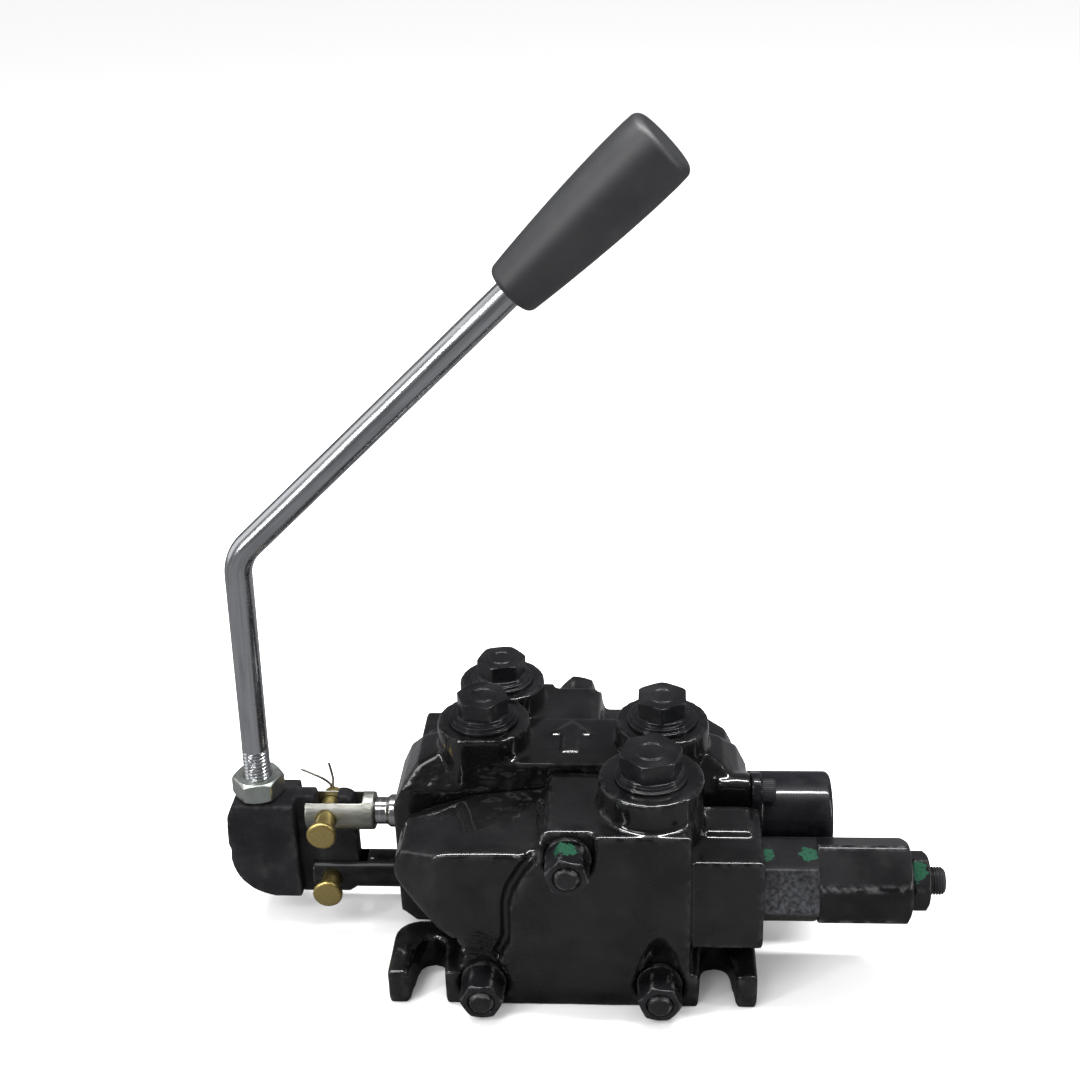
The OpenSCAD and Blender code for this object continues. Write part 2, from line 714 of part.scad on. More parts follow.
// Lever rod, swept as one closed tube: each ring is a centre in the XZ plane and
// the rod's angle from the vertical there
module lever_rod() {
    sides = 32;
    bend_steps = 10;
    trim = bend_r * tan(rod_bend / 2);
    low = (bend_z - bracket_top) / cos(rod_lean);
    rings = concat(
        [[0, -low - 20, 0]],
        [for (i = [0:bend_steps]) let (a = rod_bend * i / bend_steps)
            [bend_r * (1 - cos(a)), bend_r * sin(a) - trim, a]],
        [[(rod_upper + 58) * sin(rod_bend), (rod_upper + 58) * cos(rod_bend), rod_bend]]
    );
    points = [for (g = rings) for (j = [0:sides - 1])
        let (across = rod_d / 2 * cos(360 * j / sides), along = rod_d / 2 * sin(360 * j / sides))
        [g[0] + across * cos(g[2]), along, g[1] - across * sin(g[2])]];
    last = (len(rings) - 1) * sides;
    walls = [for (i = [0:len(rings) - 2]) for (j = [0:sides - 1])
        let (a = i * sides + j, b = i * sides + (j + 1) % sides) [a, a + sides, b + sides, b]];
    caps = [[for (j = [0:sides - 1]) j], [for (j = [sides - 1:-1:0]) last + j]];
    color([0.8, 0.8, 0.82]) translate([-bend_x, 0, bend_z]) rotate([0, rod_lean, 0])
        polyhedron(points, concat(walls, caps));
}

module lever_jam_nut() {
    color([0.8, 0.8, 0.82]) difference() {
        translate([-lever_boss_x, 0, bracket_top]) rotate([0, rod_lean, 0]) translate([0, 0, 0.5]) rotate(10)
            hex_head(22.2, 10.5);
        translate([-lever_boss_x, 0, bracket_top]) rotate([0, rod_lean, 0]) translate([0, 0, -2])
            cylinder(h = 15, r = 6.4);
    }
}

// Grip: a soft barrel, narrow at the foot, with rounded rims
module grip() {
    color([0.08, 0.08, 0.09]) translate([-bend_x, 0, bend_z]) rotate([0, rod_lean + rod_bend, 0])
        translate([0, 0, rod_upper]) difference() {
            rotate_extrude() polygon([
                [0, 0], [10.8, 0], [12, 1], [12.5, 3], [13.6, 14], [15, 32], [16.1, 50], [16.7, 68], [16.7, 78],
                [16.4, 84], [15, 86.6], [12, 87.6], [0, grip_len]
            ]);
            translate([0, 0, -1]) cylinder(h = 61, r = 6.4);
        }
}

inlet_section();
work_section();
outlet_section();
inlet_port_plug();
work_port_plug(-1, 48);  // work_port_plug_left
work_port_plug(1, 29);  // work_port_plug_right
outlet_port_plug();
port_plug_o_rings();
section_seal_rings();
tie_rods();
tie_rod_nuts_front();
tie_rod_nuts_rear();
tie_rod_washers();
relief_body();
relief_bonnet();
relief_jam_nut();
relief_o_ring();
relief_spring();
relief_poppet();
relief_spring_button();
relief_adjusting_screw();
spring_cap();
spring_cap_screws();
spring_cap_seal();
spool_seal_rings();
spool();
spool_bolt();
spring_seat_inner();
spring_seat_outer();
centring_spring();
load_check_poppet();
load_check_spring();
pivot_lug();
clevis_pin_lower();
cotter_lower();
spool_clevis();
clevis_pin_upper();
cotter_upper();
handle_bracket();
lever_rod();
lever_jam_nut();
grip();
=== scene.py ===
import json
import math

import bpy
import numpy as np
from mathutils import Matrix, Vector

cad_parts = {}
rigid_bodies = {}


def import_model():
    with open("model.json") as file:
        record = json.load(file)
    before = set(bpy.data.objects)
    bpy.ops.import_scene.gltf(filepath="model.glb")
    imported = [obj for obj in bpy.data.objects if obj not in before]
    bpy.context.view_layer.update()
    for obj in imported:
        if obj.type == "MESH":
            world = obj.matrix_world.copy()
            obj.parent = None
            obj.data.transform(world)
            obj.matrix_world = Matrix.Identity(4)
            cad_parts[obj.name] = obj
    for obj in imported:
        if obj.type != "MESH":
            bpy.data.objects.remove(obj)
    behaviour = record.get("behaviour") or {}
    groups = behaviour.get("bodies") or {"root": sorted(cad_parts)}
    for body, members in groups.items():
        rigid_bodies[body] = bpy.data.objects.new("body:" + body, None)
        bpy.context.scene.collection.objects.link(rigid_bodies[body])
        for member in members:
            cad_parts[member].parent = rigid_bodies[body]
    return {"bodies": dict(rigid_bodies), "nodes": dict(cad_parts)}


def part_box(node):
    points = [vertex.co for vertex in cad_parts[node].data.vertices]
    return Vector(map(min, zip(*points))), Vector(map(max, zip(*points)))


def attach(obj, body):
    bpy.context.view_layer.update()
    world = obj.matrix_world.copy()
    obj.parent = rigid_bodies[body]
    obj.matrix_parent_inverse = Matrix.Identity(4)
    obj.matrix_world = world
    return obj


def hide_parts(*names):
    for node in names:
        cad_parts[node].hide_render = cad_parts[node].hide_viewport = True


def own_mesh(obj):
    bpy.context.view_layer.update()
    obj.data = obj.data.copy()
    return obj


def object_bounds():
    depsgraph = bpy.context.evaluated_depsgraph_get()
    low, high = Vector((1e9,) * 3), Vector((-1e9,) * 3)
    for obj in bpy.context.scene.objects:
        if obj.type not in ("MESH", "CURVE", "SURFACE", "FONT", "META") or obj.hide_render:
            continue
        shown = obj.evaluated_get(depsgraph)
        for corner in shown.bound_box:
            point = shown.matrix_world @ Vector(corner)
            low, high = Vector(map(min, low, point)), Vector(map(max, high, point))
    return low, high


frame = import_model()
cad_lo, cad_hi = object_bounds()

MM = 0.001
ROUND = 2 * math.pi

# ---- camera, floor and light ------------------------------------------------

CAMERA_AT = Vector((0.03245, -0.61539, 0.49772))
CAMERA_HEADING = math.radians(4.17)
CAMERA_PITCH = math.radians(25.51)
CAMERA_ROLL = math.radians(1.97)
CAMERA_LENS = 51.26


def make_camera():
    """A camera that looks along the heading, tipped down by the pitch, then rolled about its own axis."""
    flat = Vector((-math.sin(CAMERA_HEADING), math.cos(CAMERA_HEADING), 0))
    ahead = flat * math.cos(CAMERA_PITCH) - Vector((0, 0, math.sin(CAMERA_PITCH)))
    right = Vector((math.cos(CAMERA_HEADING), math.sin(CAMERA_HEADING), 0))
    up = right.cross(ahead)
    across = right * math.cos(CAMERA_ROLL) - up * math.sin(CAMERA_ROLL)
    upward = right * math.sin(CAMERA_ROLL) + up * math.cos(CAMERA_ROLL)
    data = bpy.data.cameras.new("camera")
    data.lens = CAMERA_LENS
    data.sensor_width = 36
    data.clip_start = 0.01
    data.clip_end = 200
    camera = bpy.data.objects.new("camera", data)
    bpy.context.scene.collection.objects.link(camera)
    turn = Matrix((across, upward, -ahead)).transposed()
    camera.matrix_world = Matrix.Translation(CAMERA_AT) @ turn.to_4x4()
    bpy.context.scene.camera = camera


def add(tree, kind, inputs=(), **settings):
    """One shader node: settings are its own choices, inputs are values or sockets to link."""
    made = tree.nodes.new(kind)
    for key, value in settings.items():
        setattr(made, key, value)
    for key, value in dict(inputs).items():
        if isinstance(value, bpy.types.NodeSocket):
            tree.links.new(value, made.inputs[key])
        else:
            made.inputs[key].default_value = value
    return made


def make_floor():
    """A pale floor that is a little darker to mirror rays, so gloss black stays black."""
    size = 40.0
    mesh = bpy.data.meshes.new("floor")
    mesh.from_pydata([(-size, -size, 0), (size, -size, 0), (size, size, 0), (-size, size, 0)], [],
                     [(0, 1, 2, 3)])
    floor = bpy.data.objects.new("floor", mesh)
    bpy.context.scene.collection.objects.link(floor)
    material = bpy.data.materials.new("pale_floor")
    material.use_nodes = True
    tree = material.node_tree
    shader = tree.nodes["Principled BSDF"]
    path = add(tree, "ShaderNodeLightPath")
    tone = add(tree, "ShaderNodeMix", {0: path.outputs["Is Glossy Ray"], 6: (0.93, 0.93, 0.93, 1),
                                       7: (0.10, 0.10, 0.103, 1)}, data_type="RGBA")
    tree.links.new(tone.outputs[2], shader.inputs["Base Color"])
    shader.inputs["Roughness"].default_value = 0.8
    shader.inputs["Specular IOR Level"].default_value = 0.0
    mesh.materials.append(material)


def soft_light(name, at, target, width, height, power):
    """A rectangular soft box at one place, aimed at another."""
    data = bpy.data.lights.new(name, "AREA")
    data.shape = "RECTANGLE"
    data.size = width
    data.size_y = height
    data.energy = power
    lamp = bpy.data.objects.new(name, data)
    bpy.context.scene.collection.objects.link(lamp)
    lamp.location = at
    lamp.rotation_euler = (Vector(target) - Vector(at)).to_track_quat("-Z", "Y").to_euler()


def make_world():
    """A pale room: bright to the camera, dimmer in reflections."""
    world = bpy.data.worlds.new("studio")
    bpy.context.scene.world = world
    world.use_nodes = True
    tree = world.node_tree
    sky = tree.nodes["Background"]
    path = add(tree, "ShaderNodeLightPath")
    tone = add(tree, "ShaderNodeMix", {0: path.outputs["Is Glossy Ray"], 6: (1, 1, 1, 1),
                                       7: (0.15, 0.152, 0.158, 1)}, data_type="RGBA")
    tree.links.new(tone.outputs[2], sky.inputs["Color"])
    sky.inputs["Strength"].default_value = 1.0


make_camera()
make_floor()
make_world()
centre = (cad_lo + cad_hi) / 2
soft_light("ceiling_strip", (0.0, 0.10, 1.35), centre, 1.5, 0.10, 34)
soft_light("left_strip", (-1.0, -0.75, 0.75), centre, 0.12, 1.0, 8)
soft_light("left_panel", (-1.4, 0.25, 0.55), centre, 0.9, 1.2, 3.2)
soft_light("right_strip", (1.15, -0.25, 0.6), centre, 0.12, 0.9, 5)
soft_light("key_box", (-0.55, -0.95, 1.35), centre, 0.5, 0.5, 5)
bpy.context.scene.view_settings.view_transform = "Standard"

# ---- shader groups ------------------------------------------------------------


def new_group(name, inputs, outputs):
    """An empty shader group with named sockets, the values it is given and the sockets it puts out."""
    group = bpy.data.node_groups.new(name, "ShaderNodeTree")
    for label, kind, value in inputs:
        socket = group.interface.new_socket(label, in_out="INPUT", socket_type="NodeSocket" + kind)
        socket.default_value = value
    for label, kind in outputs:
        group.interface.new_socket(label, in_out="OUTPUT", socket_type="NodeSocket" + kind)
    given = group.nodes.new("NodeGroupInput").outputs
    return group, given, group.nodes.new("NodeGroupOutput").inputs


def scalar(tree, operation, a, b=0.0, clamp=False):
    """One number from two, by the operation."""
    return add(tree, "ShaderNodeMath", {0: a, 1: b}, operation=operation, use_clamp=clamp).outputs[0]


def ramp(tree, value, low, high, out_low=0.0, out_high=1.0):
    """The value carried from low..high to out_low..out_high along a smooth step."""
    return add(tree, "ShaderNodeMapRange", {0: value, 1: low, 2: high, 3: out_low, 4: out_high},
               interpolation_type="SMOOTHSTEP").outputs[0]


def noise(tree, place, scale, detail=2.0):
    """Grey noise at a place."""
    return add(tree, "ShaderNodeTexNoise", {"Vector": place, "Scale": scale, "Detail": detail}).outputs["Fac"]


def cast_grain_group():
    """Height of a sand-cast skin under paint: coarse lumps and fine peel. Blotch: slow changes of gloss."""
    group, given, out = new_group(
        "cast_grain",
        [("Place", "Vector", (0, 0, 0)), ("Coarse", "Float", 220.0), ("Fine", "Float", 900.0),
         ("Share", "Float", 0.6)],
        [("Height", "Float"), ("Blotch", "Float")])
    coarse = noise(group, given["Place"], given["Coarse"], 3.0)
    fine = noise(group, given["Place"], given["Fine"], 2.0)
    rest = scalar(group, "SUBTRACT", 1.0, given["Share"])
    height = scalar(group, "ADD", scalar(group, "MULTIPLY", coarse, given["Share"]),
                    scalar(group, "MULTIPLY", fine, rest))
    group.links.new(height, out["Height"])
    slow = noise(group, given["Place"], 45.0, 3.0)
    group.links.new(ramp(group, slow, 0.35, 0.65), out["Blotch"])
    return group


def rim_wear_and_highlight_group():
    """Rim wear and painted highlight: the edge strength broken up by noise, so that a rim is lightened in
    some places only, both as rubbed paint and as a painted highlight along the edge.
    """
    group, given, out = new_group(
        "rim_wear_and_highlight",
        [("Place", "Vector", (0, 0, 0)), ("Edge", "Float", 0.0), ("Size", "Float", 260.0),
         ("Amount", "Float", 1.0)],
        [("Wear_and_highlight", "Float")])
    broken = ramp(group, noise(group, given["Place"], given["Size"], 4.0), 0.42, 0.62)
    strong = scalar(group, "MULTIPLY", given["Edge"], given["Amount"])
    group.links.new(scalar(group, "MULTIPLY", strong, broken, True), out["Wear_and_highlight"])
    return group


def dust_group():
    """Dust: sparse specks with a thin film in the slow patches between them."""
    group, given, out = new_group(
        "dust", [("Place", "Vector", (0, 0, 0)), ("Amount", "Float", 0.3)], [("Dust", "Float")])
    specks = ramp(group, noise(group, given["Place"], 1500.0, 1.0), 0.70, 0.78)
    film = ramp(group, noise(group, given["Place"], 70.0, 4.0), 0.5, 0.8, 0.0, 0.35)
    both = scalar(group, "ADD", specks, film, True)
    group.links.new(scalar(group, "MULTIPLY", both, given["Amount"]), out["Dust"])
    return group


def drawn_streaks_group():
    """Streak: noise pulled out along the local Z axis, as drawing leaves it. Fleck: small dark pits."""
    group, given, out = new_group(
        "drawn_streaks",
        [("Place", "Vector", (0, 0, 0)), ("Across", "Float", 900.0), ("Along", "Float", 25.0)],
        [("Streak", "Float"), ("Fleck", "Float")])
    size = add(group, "ShaderNodeCombineXYZ", {0: given["Across"], 1: given["Across"],
                                              2: given["Along"]})
    pulled = add(group, "ShaderNodeVectorMath", {0: given["Place"], 1: size.outputs[0]},
                 operation="MULTIPLY").outputs[0]
    group.links.new(noise(group, pulled, 1.0, 3.0), out["Streak"])
    group.links.new(ramp(group, noise(group, given["Place"], 650.0, 2.0), 0.66, 0.76), out["Fleck"])
    return group


def turned_rings_group():
    """Ring: noise of the distance from the local Z axis and of the height along it, as a lathe leaves it."""
    group, given, out = new_group(
        "turned_rings", [("Place", "Vector", (0, 0, 0)), ("Pitch", "Float", 3000.0)], [("Ring", "Float")])
    parts = add(group, "ShaderNodeSeparateXYZ", {0: given["Place"]})
    flat = add(group, "ShaderNodeCombineXYZ", {0: parts.outputs[0], 1: parts.outputs[1]})
    radius = add(group, "ShaderNodeVectorMath", {0: flat.outputs[0]}, operation="LENGTH").outputs["Value"]
    pair = add(group, "ShaderNodeCombineXYZ", {0: radius, 1: parts.outputs[2]})
    group.links.new(noise(group, pair.outputs[0], given["Pitch"], 1.0), out["Ring"])
    return group


def paint_dab_group():
    """Dab: one inside an ellipsoid whose radius is shaken by noise, with bristle gaps, nought outside."""
    group, given, out = new_group(
        "paint_dab",
        [("Place", "Vector", (0, 0, 0)), ("Centre", "Vector", (0, 0, 0)),
         ("Reach", "Vector", (0.005, 0.005, 0.005))],
        [("Dab", "Float")])
    away = add(group, "ShaderNodeVectorMath", {0: given["Place"], 1: given["Centre"]},
               operation="SUBTRACT").outputs[0]
    scaled = add(group, "ShaderNodeVectorMath", {0: away, 1: given["Reach"]}, operation="DIVIDE").outputs[0]
    distance = add(group, "ShaderNodeVectorMath", {0: scaled}, operation="LENGTH").outputs["Value"]
    shake = noise(group, given["Place"], 420.0, 4.0)
    offset = scalar(group, "MULTIPLY", scalar(group, "SUBTRACT", shake, 0.5), 1.6)
    shaken = scalar(group, "ADD", distance, offset)
    gaps = ramp(group, noise(group, given["Place"], 1400.0, 2.0), 0.32, 0.42)
    group.links.new(scalar(group, "MULTIPLY", ramp(group, shaken, 0.85, 1.0, 1.0, 0.0), gaps), out["Dab"])
    return group


GROUPS = {
    "grain": cast_grain_group(),
    "rim": rim_wear_and_highlight_group(),
    "dust": dust_group(),
    "streaks": drawn_streaks_group(),
    "rings": turned_rings_group(),
    "dab": paint_dab_group(),
}

# ---- materials ----------------------------------------------------------------

RELIEF_TILT = math.radians(13)
RELIEF_HALF = 17.45 * MM
GREEN_PAINT = (0.010, 0.050, 0.028, 1)


def place_group(tree, name, inputs):
    """One use of a shared group, with this material's own values."""
    return add(tree, "ShaderNodeGroup", inputs, node_tree=GROUPS[name]).outputs


def blend_colour(tree, share, first, second):
    """The first colour at share nought, the second at share one."""
    return add(tree, "ShaderNodeMix", {0: share, 6: first, 7: second}, data_type="RGBA").outputs[2]


def blend_value(tree, share, first, second):
    """The first number at share nought, the second at share one."""
    return add(tree, "ShaderNodeMix", {0: share, 2: first, 3: second}, data_type="FLOAT").outputs[0]


def rgba(red, green, blue):
    """A colour with full opacity."""
    return (red, green, blue, 1)


def bare_material(name):
    """A new material, its node tree and its Principled shader."""
    material = bpy.data.materials.new(name)
    material.use_nodes = True
    tree = material.node_tree
    return material, tree, tree.nodes["Principled BSDF"]


def bump(tree, shader, height, distance):
    """The height pressed into the shader's normal, in metres of relief."""
    made = add(tree, "ShaderNodeBump", {"Height": height, "Distance": distance, "Strength": 1.0})
    tree.links.new(made.outputs[0], shader.inputs["Normal"])


def own_place(tree, lay):
    """Object coordinates, or the piece's own straightened coordinates where it carries them."""
    if lay:
        return add(tree, "ShaderNodeAttribute", attribute_name="lay").outputs["Vector"]
    return add(tree, "ShaderNodeTexCoord").outputs["Object"]


def paint_finish(name, dark, light, gloss, coarse, fine, depth, rim=0.0, dust=0.2, coat=0.0, dabs=(),
                 rim_wear_and_highlight_tone=(0.06, 0.06, 0.062, 1), specular=0.12):
    """Black paint: blotchy gloss over cast grain, rims lightened both as rubbed wear and as a painted
    highlight, a little dust and any green dabs.
    """
    material, tree, shader = bare_material(name)
    place = own_place(tree, False)
    grain = place_group(tree, "grain", {"Place": place, "Coarse": coarse, "Fine": fine})
    colour = blend_colour(tree, grain["Blotch"], dark, light)
    rough = blend_value(tree, grain["Blotch"], gloss[0], gloss[1])
    if rim:
        # the rim tone lightens convex edges: partly rubbed wear, partly a painted highlight along the edges
        edge = add(tree, "ShaderNodeAttribute", attribute_name="edge").outputs["Fac"]
        wear_and_highlight = place_group(tree, "rim", {"Place": place, "Edge": edge, "Amount": rim})["Wear_and_highlight"]
        colour = blend_colour(tree, wear_and_highlight, colour, rim_wear_and_highlight_tone)
        rough = blend_value(tree, wear_and_highlight, rough, 0.3)
    film = place_group(tree, "dust", {"Place": place, "Amount": dust})["Dust"]
    colour = blend_colour(tree, film, colour, rgba(0.10, 0.10, 0.10))
    rough = blend_value(tree, film, rough, 0.6)
    for middle, reach in dabs:
        dab = place_group(tree, "dab", {"Place": place, "Centre": middle, "Reach": reach})["Dab"]
        colour = blend_colour(tree, dab, colour, GREEN_PAINT)
        rough = blend_value(tree, dab, rough, 0.35)
    tree.links.new(colour, shader.inputs["Base Color"])
    tree.links.new(rough, shader.inputs["Roughness"])
    shader.inputs["Specular IOR Level"].default_value = specular
    shader.inputs["Coat Weight"].default_value = coat
    shader.inputs["Coat Roughness"].default_value = 0.08
    bump(tree, shader, grain["Height"], depth)
    return material


def metal_finish(name, tone, shade, gloss, depth=0.00003, across=900.0, along=25.0, rings=0.0, tint=None,
                 lay=False, axis_turn=(0, 0, 0)):
    """Plated or ground metal: drawn streaks, lathe rings, small flecks and a slow tint."""
    material, tree, shader = bare_material(name)
    place = own_place(tree, lay)
    turned = add(tree, "ShaderNodeMapping", {"Vector": place, "Rotation": axis_turn}).outputs[0]
    streaks = place_group(tree, "streaks", {"Place": turned, "Across": across, "Along": along})
    colour = blend_colour(tree, ramp(tree, streaks["Streak"], 0.3, 0.7), shade, tone)
    if tint:
        slow = place_group(tree, "grain", {"Place": place})["Blotch"]
        colour = blend_colour(tree, scalar(tree, "MULTIPLY", slow, 0.7), colour, tint)
    colour = blend_colour(tree, scalar(tree, "MULTIPLY", streaks["Fleck"], 0.35), colour,
                          rgba(0.08, 0.08, 0.08))
    rough = blend_value(tree, streaks["Streak"], gloss[0], gloss[1])
    rough = blend_value(tree, streaks["Fleck"], rough, 0.5)
    height = streaks["Streak"]
    if rings:
        ring = place_group(tree, "rings", {"Place": turned, "Pitch": 2600.0})["Ring"]
        height = scalar(tree, "ADD", height, scalar(tree, "MULTIPLY", ring, rings))
    tree.links.new(colour, shader.inputs["Base Color"])
    tree.links.new(rough, shader.inputs["Roughness"])
    shader.inputs["Metallic"].default_value = 1.0
    bump(tree, shader, height, depth)
    return material


def rubber_finish(name):
    """Seal rubber: dull black with a fine bloom."""
    return paint_finish(name, rgba(0.010, 0.010, 0.010), rgba(0.022, 0.022, 0.022), (0.55, 0.75),
                        900.0, 3500.0, 0.00002, dust=0.3)


def relief_steel_finish(name, lo, hi):
    """Dark phosphate steel: two green dabs on top, a rubbed face to the front and an olive belly."""
    material, tree, shader = bare_material(name)
    place = own_place(tree, False)
    parts = add(tree, "ShaderNodeSeparateXYZ", {0: place})
    middle = (lo + hi) / 2
    half = (hi - lo) / 2
    grain = place_group(tree, "grain", {"Place": place, "Coarse": 380.0, "Fine": 1500.0})
    streaks = place_group(tree, "streaks", {"Place": place, "Across": 500.0, "Along": 500.0})
    rubbed = ramp(tree, noise(tree, place, 520.0, 8.0), 0.22, 0.78)
    low = ramp(tree, parts.outputs[2], middle.z - half.z * 0.15, middle.z - half.z * 0.5)
    front = ramp(tree, parts.outputs[1], middle.y - half.y * 0.5, middle.y - half.y * 0.85)
    side = scalar(tree, "MULTIPLY", front, scalar(tree, "SUBTRACT", 1.0, low), True)
    colour = blend_colour(tree, grain["Blotch"], rgba(0.005, 0.005, 0.006), rgba(0.009, 0.009, 0.010))
    colour = blend_colour(tree, scalar(tree, "MULTIPLY", side, rubbed), colour, rgba(0.050, 0.051, 0.056))
    colour = blend_colour(tree, scalar(tree, "MULTIPLY", low, 0.8), colour, rgba(0.018, 0.020, 0.012))
    colour = blend_colour(tree, scalar(tree, "MULTIPLY", streaks["Fleck"], 0.6), colour,
                          rgba(0.01, 0.01, 0.01))
    rough = blend_value(tree, rubbed, 0.42, 0.3)
    top_y = middle.y - RELIEF_HALF * math.sin(RELIEF_TILT)
    top_z = middle.z + RELIEF_HALF * math.cos(RELIEF_TILT)
    for along, reach in ((lo.x + 2.2 * MM, (0.0028, 0.004, 0.003)),
                         (hi.x - 4.2 * MM, (0.0042, 0.0044, 0.003))):
        middle_top = (along, top_y, top_z)
        dab = place_group(tree, "dab", {"Place": place, "Centre": middle_top, "Reach": reach})["Dab"]
        colour = blend_colour(tree, dab, colour, GREEN_PAINT)
        rough = blend_value(tree, dab, rough, 0.4)
    tree.links.new(colour, shader.inputs["Base Color"])
    tree.links.new(rough, shader.inputs["Roughness"])
    shader.inputs["Metallic"].default_value = 0.15
    shader.inputs["Specular IOR Level"].default_value = 0.08
    bump(tree, shader, grain["Height"], 0.00006)
    return material


relief_lo, relief_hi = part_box("relief_body")
jam_lo, jam_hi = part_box("relief_jam_nut")
rods_lo, rods_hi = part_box("tie_rods")
nuts_lo, nuts_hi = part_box("tie_rod_nuts_front")
# the cartridge's hexagon stands outside the casting; its shank is hidden
hex_lo = Vector((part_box("inlet_section")[1].x, relief_lo.y, relief_lo.z))

INK = rgba(0.003, 0.003, 0.0035)
SOOT = rgba(0.007, 0.007, 0.008)
OXIDE = rgba(0.010, 0.010, 0.011)

# the dark rim tone lightens the castings' edges a little: rubbed wear and a faint painted highlight
ENAMEL = paint_finish("black_enamel", rgba(0.0015, 0.0015, 0.0018), rgba(0.004, 0.004, 0.0045), (0.26, 0.38),
                      190.0, 800.0, 0.00030, rim=0.6, dust=0.08, coat=0.9, rim_wear_and_highlight_tone=rgba(0.035, 0.035, 0.037))
PLUG_BLACK = paint_finish("satin_plug_black", rgba(0.003, 0.003, 0.004), SOOT, (0.26, 0.38),
                          500.0, 1800.0, 0.00007, rim=0.7, dust=0.2, coat=0.4)
# the pale rim tone paints a highlight along the nuts' edges, on top of their wear
NUT_BLACK = paint_finish("painted_nut_black", INK, SOOT, (0.22, 0.36), 420.0, 1500.0, 0.00010,
                         rim=0.9, dust=0.15, coat=0.5, rim_wear_and_highlight_tone=rgba(0.2, 0.2, 0.2),
                         dabs=[((-0.0015, nuts_lo.y + 0.0095, nuts_hi.z - 0.0008), (0.0080, 0.0042, 0.0024))])
JAM_BLACK = paint_finish("jam_nut_black", INK, SOOT, (0.30, 0.42), 600.0, 2000.0, 0.00006,
                         rim=0.8, dust=0.2, coat=0.3,
                         dabs=[((jam_lo.x + 0.003, (jam_lo.y + jam_hi.y) / 2 - 0.007, jam_hi.z - 0.003),
                                (0.004, 0.0055, 0.005))])
CAP_BLACK = paint_finish("cap_black", rgba(0.0025, 0.0025, 0.0035), rgba(0.005, 0.005, 0.007), (0.30, 0.42),
                         700.0, 2400.0, 0.00005, rim=0.35, dust=0.2, coat=0.5)
# the pale rim tone paints a highlight along the bonnet's hexagon edges, on top of their wear
BONNET_BLACK = paint_finish("bonnet_black", INK, rgba(0.006, 0.006, 0.0068), (0.28, 0.36),
                            420.0, 1600.0, 0.00006, rim=0.9, dust=0.1, coat=0.25,
                            rim_wear_and_highlight_tone=rgba(0.16, 0.16, 0.165))
MATTE_BLACK = paint_finish("matte_black", rgba(0.006, 0.006, 0.0072), rgba(0.010, 0.010, 0.0115),
                           (0.50, 0.62), 480.0, 1900.0, 0.00022, rim=0.35, dust=0.3)
LUG_BLACK = paint_finish("lug_black", INK, SOOT, (0.30, 0.42), 420.0, 1700.0, 0.00010,
                         rim=0.6, dust=0.2, coat=0.3)
GRIP_PLASTIC = paint_finish("grip_plastic", rgba(0.012, 0.0123, 0.0140), rgba(0.016, 0.0163, 0.0180),
                            (0.44, 0.50), 1500.0, 5200.0, 0.00004, dust=0.15, specular=0.5)
SCREW_BLACK = paint_finish("oxide_screw_black", OXIDE, rgba(0.022, 0.022, 0.024), (0.28, 0.4),
                           800.0, 2600.0, 0.00003, dust=0.2)
# the light rim tone paints a bright ring on the rod ends' chamfers: a painted highlight as well as wear
STUD_BLACK = paint_finish("black_stud", INK, rgba(0.008, 0.008, 0.009), (0.28, 0.4),
                          800.0, 2600.0, 0.00005, rim=1.0, dust=0.15, coat=0.4,
                          rim_wear_and_highlight_tone=rgba(0.35, 0.35, 0.34))
SEAL_RUBBER = rubber_finish("seal_rubber")
NUT_ZINC = metal_finish("nut_zinc", rgba(0.60, 0.63, 0.60), rgba(0.42, 0.45, 0.42), (0.30, 0.42),
                        across=500.0, along=160.0, tint=rgba(0.50, 0.54, 0.50), lay=True)
BRIGHT_ZINC = metal_finish("bright_zinc", rgba(0.66, 0.67, 0.68), rgba(0.40, 0.41, 0.43), (0.16, 0.30),
                           rings=0.6, tint=rgba(0.58, 0.60, 0.62), lay=True)
CLEVIS_ZINC = metal_finish("clevis_zinc", rgba(0.44, 0.44, 0.40), rgba(0.22, 0.22, 0.20), (0.38, 0.52),
                           across=700.0, along=240.0, tint=rgba(0.44, 0.44, 0.40),
                           axis_turn=(0, math.pi / 2, 0))
GROUND_STEEL = metal_finish("ground_steel", rgba(0.60, 0.60, 0.60), rgba(0.42, 0.42, 0.43), (0.12, 0.26),
                            across=40.0, along=1600.0, axis_turn=(0, math.pi / 2, 0))
SPRING_STEEL = metal_finish("spring_steel", rgba(0.34, 0.34, 0.35), rgba(0.20, 0.20, 0.21), (0.3, 0.45))
YELLOW_ZINC = metal_finish("yellow_zinc", rgba(0.66, 0.52, 0.20), rgba(0.56, 0.43, 0.15), (0.30, 0.42),
                           depth=0.000008, rings=1.0, tint=rgba(0.56, 0.50, 0.24), lay=True)
DARK_WIRE = metal_finish("dark_wire", rgba(0.42, 0.40, 0.37), rgba(0.20, 0.18, 0.16), (0.32, 0.5), lay=True)
RELIEF_STEEL = relief_steel_finish("relief_steel", hex_lo, relief_hi)

# ---- mesh making ----------------------------------------------------------------


def body_name(node):
    """The body that a CAD node rides on."""
    return next(name for name, empty in frame["bodies"].items() if empty == frame["nodes"][node].parent)


def read_array(items, label, width, kind=np.float32):
    """One property of every item in a mesh collection, as rows of the given width."""
    values = np.empty(len(items) * width, kind)
    items.foreach_get(label, values)
    return values.reshape(-1, width)


def stand_in(name, mesh, node, material):
    """An object of the mesh that rides on the CAD node's body and stands for the node."""
    mesh.materials.append(material)
    piece = bpy.data.objects.new(name, mesh)
    bpy.context.scene.collection.objects.link(piece)
    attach(piece, body_name(node))
    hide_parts(node)
    return piece


